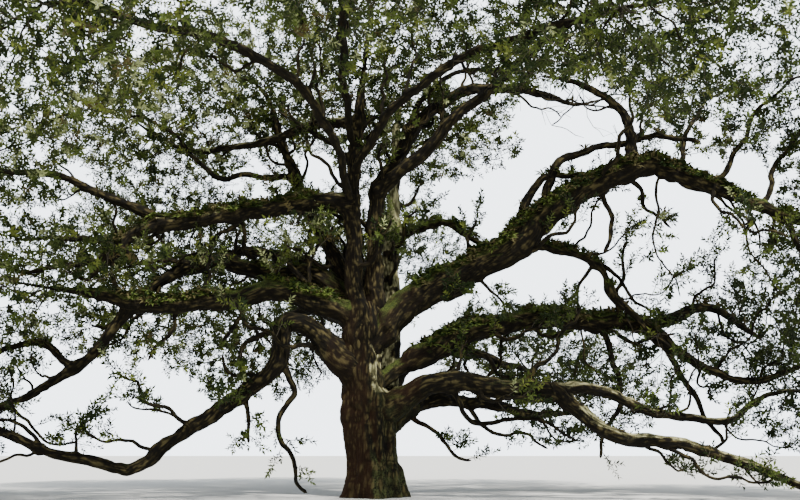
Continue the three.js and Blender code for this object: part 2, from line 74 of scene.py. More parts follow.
trunk = {"height": 6300, "girthRadius": 850, "flareRadius": 290, "flareHeight": 520, "lean": -300,
         "crownStart": 0.78, "crownRadius": 430, "lobes": 5, "lobeDepth": 0.11, "lobeRun": 0.25,
         "lobeTurn": 0.6}
limbShape = {"step": 250, "swell": 0.3, "swellLength": 1.6, "taper": 0.85, "crook": 0.11,
             "crookLength": 2300, "gap": 0.4}
growth = {"sprays": 16, "candidates": 14, "elbow": 0.4, "stemShare": 0.85, "hollow": 0.3, "fill": 0.76,
          "balance": 0.35, "groundClearance": 350, "limbClearance": 110, "endClearance": 330,
          "spaceMargin": 0.05, "overhang": 1.12}
seeds = {"limb": 101, "limbStep": 17, "foliage": 9001, "foliageStep": 29, "offshoots": 733, "sides": 1907}


def namedRows(keys, rows):
    return [dict(zip(keys, row)) for row in rows]


# The way of a limb is its headings and pitches along it; a shift moves its foot off the parent's line.
limbs = namedRows(("name", "parent", "at", "length", "radius", "way", "shift"), [
    ("leader_centre", "trunk", 0.8, 8700, [330, 170], [[180, 84], [180, 89], [200, 88], [0, 84], [20, 80]],
     [-380, -330, 0]),
    ("bough_right_high", "trunk", 0.79, 11200, [580, 300], [[-2, 50], [-6, 35], [-6, 25], [-6, 25],
     [-8, 43], [-8, 38], [-8, 20], [-8, 11]], [150, 0, 0]),
    ("leader_right", "trunk", 0.82, 14400, [330, 140], [[10, 86], [10, 88], [15, 87], [15, 88], [18, 62],
     [20, 58], [20, 48], [22, 26], [24, 12], [26, 0], [28, 0]], [40, 60, 0]),
    ("bough_left_fern", "trunk", 0.86, 9400, [360, 210], [[186, 42], [186, 25], [186, 2], [186, -10],
     [188, -12], [188, 5], [186, 8], [184, 10]], [-250, -150, 0]),
    ("bough_left_dark", "trunk", 0.93, 9000, [330, 200], [[170, 56], [168, 36], [168, 10], [168, 8],
     [168, 14], [170, -4], [172, -36], [174, -60]], [-200, 200, 0]),
    ("bough_left_low_crook", "trunk", 0.62, 3000, [400, 300], [[186, 26], [188, 34], [190, 46], [190, 36],
     [190, -6]], [-260, -120, 0]),
    ("leader_left", "trunk", 0.88, 8600, [330, 130], [[155, 72], [158, 63], [162, 58], [164, 64], [164, 72],
     [165, 66]], [-150, 320, 0]),
    ("leader_back", "trunk", 0.56, 10200, [390, 140], [[60, 76], [60, 86], [60, 86], [80, 80], [84, 72]],
     [330, 560, 0]),
    ("bough_right_mid", "trunk", 0.56, 9900, [420, 250], [[0, 42], [10, 30], [12, 22], [11, 11], [9, 1],
     [7, -4], [7, -3]], [250, 0, 0]),
    ("bough_right_mid_outer", "bough_right_mid", 1, 5200, [220, 110], [[16, 14], [22, 24], [24, 8],
     [26, -22], [26, -34]]),
    ("bough_right_mid_fork", "bough_right_mid", 0.97, 5400, [210, 90], [[-34, -20], [-28, -38], [-24, -46],
     [-22, -18], [-20, 4], [-20, 18]]),
    ("bough_right_low", "trunk", 0.43, 5900, [370, 255], [[-12, 38], [-14, 16], [-12, -3], [-10, -9],
     [-8, -12]], [200, -260, 0]),
    ("bough_right_low_outer", "bough_right_low", 1, 8600, [255, 95], [[-20, -46], [-16, -34], [-12, -12],
     [-10, -5], [-12, -20], [-14, -25], [-16, -14], [-18, 10]]),
    ("bough_right_low_upper", "bough_right_low", 0.97, 8400, [200, 85], [[14, 26], [16, -14], [14, -18],
     [14, -12], [12, -4], [12, 32], [12, 16]]),
    ("bough_back_low", "trunk", 0.35, 8600, [330, 100], [[42, 34], [34, 16], [28, -4], [30, -9], [38, -4],
     [42, 8]], [330, 330, 0]),
    ("limb_right_crest", "bough_right_high", 0.92, 4700, [210, 100], [[10, 62], [80, 80], [154, 58],
     [160, 42], [164, 16]]),
    ("bough_right_high_outer", "bough_right_high", 1, 6300, [240, 105], [[-12, -20], [-14, -33], [-14, -22],
     [-10, -30], [-10, -26]]),
    ("limb_right_hanging", "bough_right_high", 0.5, 6200, [190, 75], [[56, 12], [18, 0], [8, -14], [4, -34],
     [0, -78], [0, -30], [0, -50]], [0, 160, 180]),
    ("limb_right_top", "leader_right", 0.34, 8200, [240, 110], [[-30, 14], [-26, 38], [-24, 44], [-24, 34],
     [-24, 36], [-24, 34], [-24, 26]]),
    ("bough_left_low_sweep", "bough_left_low_crook", 1, 6900, [290, 175], [[188, -84], [188, -74],
     [188, -46], [188, -40], [188, -33], [188, -26], [190, -42], [192, -50], [196, -2]]),
    ("bough_left_low_rise", "bough_left_low_sweep", 1, 8000, [170, 75], [[196, 10], [200, 17], [204, 20],
     [206, 18], [206, 30], [206, 20]]),
    ("bough_left_lit", "leader_centre", 0.5, 8800, [310, 190], [[184, 4], [188, -7], [190, -14], [190, -9],
     [190, -9], [192, -36], [194, -56]]),
    ("limb_left_upper", "bough_left_lit", 0.72, 5600, [180, 80], [[194, 22], [200, 26], [206, 14], [208, 0],
     [208, 4]]),
    ("limb_top_left", "leader_centre", 0.86, 7400, [190, 85], [[170, 6], [160, -10], [152, -4], [152, 4],
     [156, 14]]),
    ("bough_left_dark_outer", "bough_left_fern", 0.8, 8000, [200, 85], [[176, -36], [168, -54], [162, -36],
     [160, -20], [160, -22], [160, -10], [160, 0]]),
    ("bough_left_back", "trunk", 0.84, 11000, [330, 110], [[138, 56], [140, 42], [142, 24], [144, 8],
     [144, 0], [142, 6]], [-160, 420, 0]),
    ("bough_back_left", "trunk", 0.76, 10800, [350, 110], [[118, 38], [118, 26], [120, 10], [120, -2],
     [116, -10], [114, -2]], [-120, 420, 0]),
    ("bough_back", "trunk", 0.84, 10600, [340, 110], [[96, 52], [98, 40], [96, 28], [92, 12], [92, 2],
     [92, 6]], [60, 420, 0]),
    ("bough_back_right", "trunk", 0.5, 11400, [340, 105], [[62, 40], [58, 24], [54, 8], [52, -2], [54, -8],
     [56, 2]], [260, 420, 0]),
    ("bough_front_left", "leader_centre", 0.5, 11400, [240, 95], [[-98, 42], [-106, 34], [-120, 22],
     [-138, 8], [-148, -4], [-148, 2]]),
    ("bough_front_right", "leader_centre", 0.62, 10800, [220, 95], [[-72, 32], [-60, 24], [-50, 14],
     [-44, 5], [-38, -4], [-40, 2]]),
    ("bough_front", "leader_centre", 0.74, 8600, [200, 90], [[-96, 28], [-94, 24], [-90, 18], [-86, 8],
     [-88, 0], [-88, 4]]),
])

masses = namedRows(("name", "bough", "ahead", "lift", "reach"), [
    ("foliage_crown_top", "leader_centre", 300, 1900, [4700, 4500, 2700]),
    ("foliage_left_top", "leader_left", 700, 1300, [4300, 4500, 2500]),
    ("foliage_right_top", "limb_right_top", 1700, 700, [4500, 4100, 2300]),
    ("foliage_right_shoulder", "leader_right", 2300, 300, [4500, 4300, 2100]),
    ("foliage_right_crest", "limb_right_crest", 900, 300, [2900, 2700, 1500]),
    ("foliage_right_end", "bough_right_high_outer", 1300, 700, [3300, 6900, 3100]),
    ("foliage_right_hanging", "limb_right_hanging", 300, -900, [2000, 2100, 1600]),
    ("foliage_right_middle", "bough_right_mid_outer", 900, 300, [3500, 3700, 2300]),
    ("foliage_right_fork", "bough_right_mid_fork", 1700, 300, [2900, 3700, 1900]),
    ("foliage_right_low", "bough_right_low_upper", 1500, -200, [2500, 3300, 1400]),
    ("foliage_right_ground", "bough_right_low_outer", 1500, 700, [2500, 3100, 1200]),
    ("foliage_back_low", "bough_back_low", 1300, 500, [3300, 3300, 1600]),
    ("foliage_back_right", "bough_back_right", 900, 700, [4500, 5100, 2500]),
    ("foliage_back", "bough_back", 900, 1100, [4500, 5100, 3500]),
    ("foliage_back_left", "bough_back_left", 900, 300, [4300, 4900, 3100]),
    ("foliage_back_top", "leader_back", 2100, 900, [4500, 5300, 2700]),
    ("foliage_left_back", "bough_left_back", 900, 900, [4500, 4900, 3100]),
    ("foliage_left_shoulder", "limb_left_upper", 1300, 500, [3900, 6500, 2900]),
    ("foliage_left_end", "bough_left_dark", 1300, -200, [2900, 3500, 2000]),
    ("foliage_left_drooping", "bough_left_lit", 1300, 100, [2500, 3500, 1500]),
    ("foliage_left_fern", "bough_left_fern", 2300, 300, [3300, 4100, 2100]),
    ("foliage_left_dark", "bough_left_dark_outer", 1300, 400, [3100, 3900, 1900]),
    ("foliage_left_ground", "bough_left_low_rise", 700, 300, [3100, 4700, 2300]),
    ("foliage_top_left", "limb_top_left", 1500, 900, [3900, 4500, 2300]),
    ("foliage_front_left", "bough_front_left", 1300, -300, [4700, 5100, 2900]),
    ("foliage_front_right", "bough_front_right", 1300, -100, [4900, 4900, 2900]),
    ("foliage_front", "bough_front", 500, 500, [4300, 4300, 2300]),
])


# A stream of repeatable random numbers from 0 to 1, the same as the source's.
def seededRandom(seed):
    word = 0xffffffff
    state = seed & word

    def draw():
        nonlocal state
        state = (state + 0x6d2b79f5) & word
        mixed = ((state ^ (state >> 15)) * (1 | state)) & word
        mixed = ((mixed + ((mixed ^ (mixed >> 7)) * (61 | mixed))) & word) ^ mixed
        return ((mixed ^ (mixed >> 14)) & word) / 4294967296
    return draw


def unit(vector):
    return vector / np.linalg.norm(vector)


def directionOf(turn):
    h, p = math.radians(turn[0]), math.radians(turn[1])
    return np.array([math.cos(p) * math.cos(h), math.cos(p) * math.sin(h), math.sin(p)])


def directionAt(way, share):
    place = min(share, 1) * (len(way) - 1)
    before = min(math.floor(place), len(way) - 2)
    first, second = directionOf(way[before]), directionOf(way[before + 1])
    return unit(first + (second - first) * (place - before))


# A limb's line: steps along its way, swayed by two waves so that it runs crooked.
def walkLimb(limb, start, seed, crook=limbShape["crook"], crookLength=limbShape["crookLength"]):
    random = seededRandom(seed)
    phases = [random() * 2 * math.pi for _ in range(4)]
    steps = math.floor(limb["length"] / limbShape["step"] + 0.5)
    step = limb["length"] / steps
    points = [start]
    for i in range(steps):
        along = directionAt(limb["way"], (i + 0.5) / steps)
        side = np.cross(along, [0, 0, 1])
        side = unit(side) if side @ side >= 0.01 else np.array([1.0, 0, 0])
        over = np.cross(side, along)
        turn = 2 * math.pi * (i + 0.5) * step / crookLength
        sway = math.sin(turn + phases[0]) + 0.5 * math.sin(1.9 * turn + phases[1])
        heave = math.sin(0.8 * turn + phases[2]) + 0.5 * math.sin(2.3 * turn + phases[3])
        points.append(points[-1] + unit(along + side * crook * sway + over * crook * heave) * step)
    return np.array(points)


# A smooth line through the points, in steps of about the spacing.
def smoothLine(points, spacing):
    points = np.asarray(points, float)
    ends = np.concatenate([[2 * points[0] - points[1]], points, [2 * points[-1] - points[-2]]])
    pieces = []
    for i in range(1, len(ends) - 2):
        a, b, c, d = ends[i - 1:i + 3]
        count = max(1, round(float(np.linalg.norm(c - b)) / spacing))
        t = (np.arange(count) / count)[:, None]
        pieces.append(0.5 * (2 * b + (c - a) * t + (2 * a - 5 * b + 4 * c - d) * t ** 2
                             + (3 * b - a - 3 * c + d) * t ** 3))
    return np.concatenate(pieces + [points[-1:]])


# How far along the line each of its points lies.
def lengthsAlong(line):
    return np.concatenate([[0], np.cumsum(np.linalg.norm(np.diff(line, axis=0), axis=1))])


# The values spread evenly over this many points.
def spreadOver(values, count):
    return np.interp(np.linspace(0, 1, count), np.linspace(0, 1, len(values)), values)


def limbRadius(limb, share):
    base, tip = limb["radius"]
    taper = base + (tip - base) * np.power(share, limbShape["taper"])
    fromParent = share * limb["length"] / (limbShape["swellLength"] * base)
    swell = limbShape["swell"] * np.exp(-fromParent) if limb["at"] < 1 else 0
    return taper * (1 + swell)


def trunkPoint(share):
    return np.array([trunk["lean"] * share, 0, trunk["height"] * share])


def smoothStep(value, low, high):
    t = np.clip((value - low) / (high - low), 0, 1)
    return t * t * (3 - 2 * t)


def trunkRadius(share, angle):
    flare = np.exp(-share * trunk["height"] / trunk["flareHeight"])
    wave = np.cos(trunk["lobes"] * angle + trunk["lobeTurn"])
    lobe = 1 + trunk["lobeDepth"] * (trunk["lobeRun"] + flare) * wave
    narrowing = smoothStep(share, trunk["crownStart"], 1)
    bole = trunk["girthRadius"] + (trunk["crownRadius"] - trunk["girthRadius"]) * narrowing
    return (bole + trunk["flareRadius"] * flare) * lobe


def growLimbs(table, lineOf, firstSeed, **sway):
    for index, limb in enumerate(table):
        parentLine = lineOf.get(limb["parent"])
        if parentLine is None:
            start = trunkPoint(limb["at"])
        else:
            start = parentLine[math.floor(limb["at"] * (len(parentLine) - 1) + 0.5)]
        start = start + np.array(limb.get("shift", [0, 0, 0]))
        if limb["at"] == 1:
            start = start + unit(parentLine[-1] - parentLine[-2]) * limbShape["gap"]
        lineOf[limb["name"]] = walkLimb(limb, start, firstSeed + seeds["limbStep"] * index, **sway)


lineOf = {}
growLimbs(limbs, lineOf, seeds["limb"])
limbOf = {limb["name"]: limb for limb in limbs}
barkPoints = np.concatenate([lineOf[limb["name"]] for limb in limbs])
barkRadii = np.concatenate([limbRadius(limb, np.linspace(0, 1, len(lineOf[limb["name"]]))) for limb in limbs])


def clearanceAt(places):
    away = np.linalg.norm(places[:, None, :] - barkPoints[None, :, :], axis=2) - barkRadii
    return away.min(axis=1)


spaces = []
for mass in masses:
    limb, line = limbOf[mass["bough"]], lineOf[mass["bough"]]
    onward = unit(line[-1] - line[-2])
    along = unit(onward * [1, 1, 0])
    middle = line[-1] + along * mass["ahead"] + np.array([0, 0, mass["lift"]])
    foot = line[-1] + onward * limbShape["gap"]
    elbow = foot + onward * growth["elbow"] * np.linalg.norm(middle - foot)
    spaces.append({**mass, "along": along, "across": np.array([-along[1], along[0], 0]), "middle": middle,
                   "stem": [foot, elbow, middle], "stemRadius": growth["stemShare"] * limb["radius"][1]})

middles = np.array([space["middle"] for space in spaces])
axes = np.array([[space["along"] / space["reach"][0], space["across"] / space["reach"][1],
                  np.array([0, 0, 1]) / space["reach"][2]] for space in spaces])


# How far out each point lies in each mass: 0 at its middle and 1 at the edge of its reach.
def depthsIn(places):
    offset = places[:, None, :] - middles[None, :, :]
    return np.linalg.norm(np.einsum("nmk,mak->nma", offset, axes), axis=2)


def holds(own, places, edge):
    depths = depthsIn(places)
    mine = depths[:, own].copy()
    depths[:, own] = np.inf
    inside = (mine <= edge) & (places[:, 2] >= growth["groundClearance"])
    return inside & (depths.min(axis=1) > mine + growth["spaceMargin"])


# Twig ends spread evenly through the mass: each is the best of several random places.
def twigEnds(own, random, count, hollow, fill):
    space = spaces[own]
    ends = []
    reach = space["reach"]
    for _ in range(4 * count):
        if len(ends) >= count:
            break
        places = []
        for _ in range(growth["candidates"]):
            turn, rise = 2 * math.pi * random(), 2 * random() - 1
            out = (hollow ** 3 + (fill ** 3 - hollow ** 3) * random()) ** (1 / 3)
            level = math.sqrt(1 - rise * rise) * out
            place = space["middle"] + space["along"] * reach[0] * level * math.cos(turn)
            place = place + space["across"] * reach[1] * level * math.sin(turn)
            places.append(place + np.array([0, 0, reach[2] * rise * out]))
        places = np.array(places)
        fit = holds(own, places, 1) & (clearanceAt(places) >= growth["endClearance"])
        if not fit.any():
            continue
        gap = np.full(len(places), 1e9)
        if ends:
            gap = np.linalg.norm(places[:, None] - np.array(ends)[None], axis=2).min(axis=1)
        gap[~fit] = -1
        ends.append(places[int(np.argmax(gap))])
    return ends


def twigIsClear(start, end, own):
    shares = np.arange(0.15, 1.0001, 0.17)[:, None]
    spots = start + (end - start) * shares
    return bool((clearanceAt(spots) >= growth["limbClearance"]).all()
                and holds(own, spots, growth["overhang"]).all())


# Joins the twig ends to what has grown, nearest first, and counts a long way back against a place.
def joinTwigs(places, parents, paths, ends, own):
    waiting = np.array(ends)
    if not len(waiting):
        return []
    costs = np.full((len(waiting), len(places) + len(waiting)), np.inf)

    def addColumn(node):
        costs[:, node] = np.linalg.norm(waiting - places[node], axis=1) + growth["balance"] * paths[node]

    for node in range(1, len(places)):
        addColumn(node)
    added = []
    while True:
        w, n = np.unravel_index(np.argmin(costs), costs.shape)
        if not np.isfinite(costs[w, n]):
            return added
        if not twigIsClear(places[n], waiting[w], own):
            costs[w, n] = np.inf
            continue
        end = waiting[w].copy()
        paths.append(paths[n] + float(np.linalg.norm(end - places[n])))
        places.append(end)
        parents.append(int(n))
        added.append(len(places) - 1)
        waiting[w] = np.inf
        costs[w] = np.inf
        addColumn(len(places) - 1)


# Noise from 0 to 1 that changes smoothly from place to place.
def placeNoise(places, seed):
    cell = np.floor(places)
    f = places - cell
    f = f * f * (3 - 2 * f)
    cell = cell.astype(np.int64)
    total = np.zeros(len(places))
    for corner in range(8):
        step = np.array([corner & 1, corner >> 1 & 1, corner >> 2 & 1])
        x, y, z = (cell + step).T
        mixed = (x * 73856093 ^ y * 19349663 ^ z * 83492791 ^ seed * 2654435761) & 0xffffffff
        mixed = ((mixed ^ (mixed >> 15)) * 2246822519) & 0xffffffff
        mixed = ((mixed ^ (mixed >> 13)) * 3266489917) & 0xffffffff
        weight = np.prod(np.where(step == 1, f, 1 - f), axis=1)
        total += weight * ((mixed ^ (mixed >> 16)) & 0xffff) / 65535
    return total


# Two directions across the line at each point, carried along it without twist.
def crossFrames(line):
    tangents = np.gradient(line, axis=0)
    tangents /= np.linalg.norm(tangents, axis=1)[:, None]
    guess = np.array([0, 0, 1.0]) if abs(tangents[0][2]) < 0.9 else np.array([1.0, 0, 0])
    across = [unit(np.cross(guess, tangents[0]))]
    for tangent in tangents[1:]:
        across.append(unit(across[-1] - tangent * (across[-1] @ tangent)))
    across = np.array(across)
    return across, np.cross(tangents, across)


barkLook = {
    "ringSpacing": 69,  # between the rings of a limb's mesh
    "sideSpacing": 44,  # round its girth at the base
    "fewestSides": 14,
    "mostSides": 84,
    "plateWidth": 92,  # of the plates of bark between furrows
    "plateLength": 240,
    "finePlates": 0.45,  # their length as a share of the plates'
    "crackLength": 110,
    "ribLength": 1500,
    "drift": 1.4,  # how far the pattern strays
    "driftLength": 420,
    "lumps": (0.7, 1.9),  # how many lie round a limb, and their length in girths
    "bosses": (1.7, 0.8),
    "furrowDepth": 34,
    "ribDepth": 0.1,  # of the long ribs, as a share of the radius
    "lumpDepth": 0.17,
    "wander": 0.24,  # how far the heart of a limb leaves its line, as a share of the radius
    "wanderLength": 1150,
    "rooted": 900,  # from its foot on, where the heart of a limb begins to leave its line
    "knotSpacing": 1500,
    "knotSize": 0.62,
    "knotHeight": 0.3,
    "collar": 0.75,  # swelling where a branch leaves, as a share of the branch's radius
    "collarReach": 1.9,
    "filletShare": 0.95,  # how far a crotch is filled, as a share of a limb's base radius
    "filletRise": 0.3,
    "fullBark": 330,  # radius from which the furrows have their full depth
    "thinBark": 40,  # radius below which the pattern grows no finer
    "twist": 0.35,  # radians in a metre
}


# How far each place lies outside another limb's bark; inside it the number is negative.
def outsideOf(places, name):
    line = smoothLine(wood[name]["line"], 90)
    radii = spreadOver(wood[name]["radii"], len(line))
    nearest = np.full(len(places), np.inf)
    for start in range(0, len(places), 4000):
        part = places[start:start + 4000]
        away = np.linalg.norm(part[:, None] - line[None], axis=2) - radii
        nearest[start:start + 4000] = away.min(axis=1)
    return nearest


# How far a crotch with another limb is filled at each place.
def filletAt(places, other, width):
    apart = np.clip(np.abs(outsideOf(places, other)) / width, 0, 1)
    return barkLook["filletRise"] * width * (1 - apart) ** 2


# Relief of the bark at each vertex, from its angle round the limb and its place along it.
def barkRelief(angle, along, girths, radius, seed, twist):
    turned = angle + twist * along / 1000
    ring = np.stack([np.cos(turned), np.sin(turned)], axis=1)
    look = barkLook
    drift = placeNoise(np.column_stack([ring * 1.5, along / look["driftLength"]]), seed + 9)[:, None] - 0.5

    def field(around, onward, number):
        spots = np.column_stack([ring * around, onward]) + 37.7 * number  # so that no two fields match
        return placeNoise(spots + drift * look["drift"], seed + number)

    plate = (radius / look["plateWidth"])[:, None]
    plates = 1 - np.abs(2 * field(plate, along / look["plateLength"], 1) - 1)
    fine = 1 - np.abs(2 * field(plate * 2, along / (look["finePlates"] * look["plateLength"]), 2) - 1)
    cracks = field(plate * 0.9, along / look["crackLength"], 3)
    ribs = field(1.6, along / look["ribLength"], 4) - 0.5
    lumps, bosses = [field(around, girths / length, number) - 0.5
                     for number, (around, length) in ((5, look["lumps"]), (6, look["bosses"]))]
    strength = np.clip(radius / look["fullBark"], 0.15, 1)
    height = 0.5 * (1 - plates ** 2) + 0.25 * (1 - fine ** 2) + 0.25 * cracks
    move = (height - 0.55) * look["furrowDepth"] * strength
    move += radius * (2 * look["ribDepth"] * ribs + 2 * look["lumpDepth"] * lumps
                      + look["lumpDepth"] * bosses)
    place = np.column_stack([ring * radius[:, None], along]) * mm
    return move, height, place


# Swellings on a limb: knots dealt out along it and a collar round the foot of each branch.
def swellings(name, places, line, radii, seed):
    random = seededRandom(seed + 5)
    grown = np.zeros(len(places))
    length = float(np.linalg.norm(np.diff(line, axis=0), axis=1).sum())
    for _ in range(int(length / barkLook["knotSpacing"])):
        at = int((0.1 + 0.85 * random()) * (len(line) - 1))
        guess = directionOf([360 * random(), 160 * random() - 80])
        centre = line[at] + unit(np.cross(line[at + 1] - line[at], guess)) * radii[at]
        size = barkLook["knotSize"] * radii[at] * (0.6 + 0.8 * random())
        away = np.linalg.norm(places - centre, axis=1) / size
        grown += barkLook["knotHeight"] * radii[at] * (np.exp(-away ** 2 * 2) - 0.5 * np.exp(-away ** 2 * 14))
    for other, entry in wood.items():
        if entry.get("parent") != name or other not in slight:
            continue
        foot = np.argmin(np.linalg.norm(line - entry["line"][0], axis=1))
        centre = entry["line"][0] + unit(entry["line"][1] - entry["line"][0]) * radii[foot]
        away = np.linalg.norm(places - centre, axis=1) / (barkLook["collarReach"] * entry["radii"][0])
        grown += barkLook["collar"] * entry["radii"][0] * np.exp(-away ** 2)
    return grown


# The points, faces and numbers of one closed limb with its bark.
def limbSkin(name, neighbours):
    item, thinBark = wood[name], barkLook["thinBark"]
    line = smoothLine(item["line"], barkLook["ringSpacing"] * item.get("coarse", 1))
    share = np.linspace(0, 1, len(line))
    radii = spreadOver(item["radii"], len(line))
    left = np.linalg.norm(line - line[-1], axis=1) / max(radii[-1], 1)
    radii = radii * np.sqrt(np.clip(1 - (1 - np.clip(left, 0, 1)) ** 2, 0.04, 1))
    sides = int(np.clip(2 * math.pi * radii.max() / (barkLook["sideSpacing"] * item.get("coarse", 1)),
                        item.get("fewestSides", barkLook["fewestSides"]), barkLook["mostSides"]))
    across, over = crossFrames(line)
    steps = np.linalg.norm(np.diff(line, axis=0), axis=1)
    along = np.concatenate([[0], np.cumsum(steps)])
    girths = np.concatenate([[0], np.cumsum(steps / np.maximum(radii[1:], thinBark))])
    stray = np.column_stack([along / barkLook["wanderLength"], np.zeros(len(line)), np.full(len(line), 0.5)])
    sway = np.column_stack([placeNoise(stray, item["seed"] + 21), placeNoise(stray + 9.3, item["seed"] + 22)])
    sway -= 0.5
    loose = np.clip(along / barkLook["rooted"], 0, 1)
    sway *= (2 * barkLook["wander"] * radii * loose * (1 - share) ** 0.3)[:, None]
    line = line + across * sway[:, :1] + over * sway[:, 1:]
    angle = np.tile(np.arange(sides) * 2 * math.pi / sides, len(line))
    ring = np.repeat(np.arange(len(line)), sides)
    outward = across[ring] * np.cos(angle)[:, None] + over[ring] * np.sin(angle)[:, None]
    places = line[ring] + outward * radii[ring][:, None]
    fillet = barkLook["filletShare"] * item["radii"][0]
    grown = np.zeros(len(places))
    for other in neighbours:
        width = min(fillet, barkLook["filletShare"] * wood[other]["radii"][0])
        grown = np.maximum(grown, filletAt(places, other, width))
    if name not in slight:
        grown += swellings(name, places, line, radii, item["seed"])
    move, height, place = barkRelief(angle, along[ring], girths[ring], np.maximum(radii[ring], thinBark),
                                     item["seed"], item.get("twist", barkLook["twist"]))
    fade = np.clip(radii[ring] / np.maximum(item["radii"][-1] * 0.9, 1), 0, 1)
    places = places + outward * (grown + move * fade)[:, None]
    mossy, lichen = [spreadOver(values, len(line))[ring] for values in item["dress"]]
    return closeTube(line, places, sides, {
        "height": height, "barkPlace": place, "mossy": mossy, "lichen": lichen})


# Faces for rings of points, closed by a pole at each end.
def closeTube(line, places, sides, numbers):
    rings = len(places) // sides
    first = np.arange(rings - 1)[:, None] * sides
    side = np.arange(sides)[None, :]
    after = (side + 1) % sides
    quads = np.stack([first + side, first + after, first + sides + after, first + sides + side], axis=2)
    foot, tip = len(places), len(places) + 1
    last = (rings - 1) * sides
    s, n = side[0], after[0]
    caps = [np.column_stack([np.full(sides, foot), n, s]),
            np.column_stack([np.full(sides, tip), last + s, last + n])]
    points = np.vstack([places, line[:1], places[-sides:].mean(axis=0)[None]])
    numbers = {name: np.concatenate([values, values[:1], values[-1:]]) for name, values in numbers.items()}
    return {"points": points, "quads": quads.reshape(-1, 4), "triangles": np.vstack(caps), "numbers": numbers}


def putInScene(name, data):
    item = bpy.data.objects.new(name, data)
    bpy.context.scene.collection.objects.link(item)
    return item


def setNumbers(mesh, name, values):
    values = np.asarray(values, np.float32)
    vector = values.ndim == 2
    layer = mesh.attributes.new(name, "FLOAT_VECTOR" if vector else "FLOAT", "POINT")
    layer.data.foreach_set("vector" if vector else "value", values.ravel())


# A mesh object in metres from one or more skins.
def skinPiece(name, skins, material):
    starts = np.cumsum([0] + [len(skin["points"]) for skin in skins[:-1]])
    points = np.vstack([skin["points"] for skin in skins]) * mm
    quads = np.vstack([skin["quads"] + start for skin, start in zip(skins, starts)])
    triangles = np.vstack([skin["triangles"] + start for skin, start in zip(skins, starts)])
    mesh = bpy.data.meshes.new(name)
    mesh.vertices.add(len(points))
    mesh.vertices.foreach_set("co", points.ravel())
    corners = np.concatenate([quads.ravel(), triangles.ravel()])
    mesh.loops.add(len(corners))
    mesh.loops.foreach_set("vertex_index", corners)
    mesh.polygons.add(len(quads) + len(triangles))
    mesh.polygons.foreach_set("loop_start", np.concatenate([
        np.arange(len(quads)) * 4, len(quads) * 4 + np.arange(len(triangles)) * 3]))
    mesh.update(calc_edges=True)
    mesh.validate()
    mesh.polygons.foreach_set("use_smooth", np.ones(len(mesh.polygons), bool))
    mesh.materials.append(material)
    for label in skins[0]["numbers"]:
        setNumbers(mesh, label, np.concatenate([skin["numbers"][label] for skin in skins]))
    return putInScene(name, mesh)


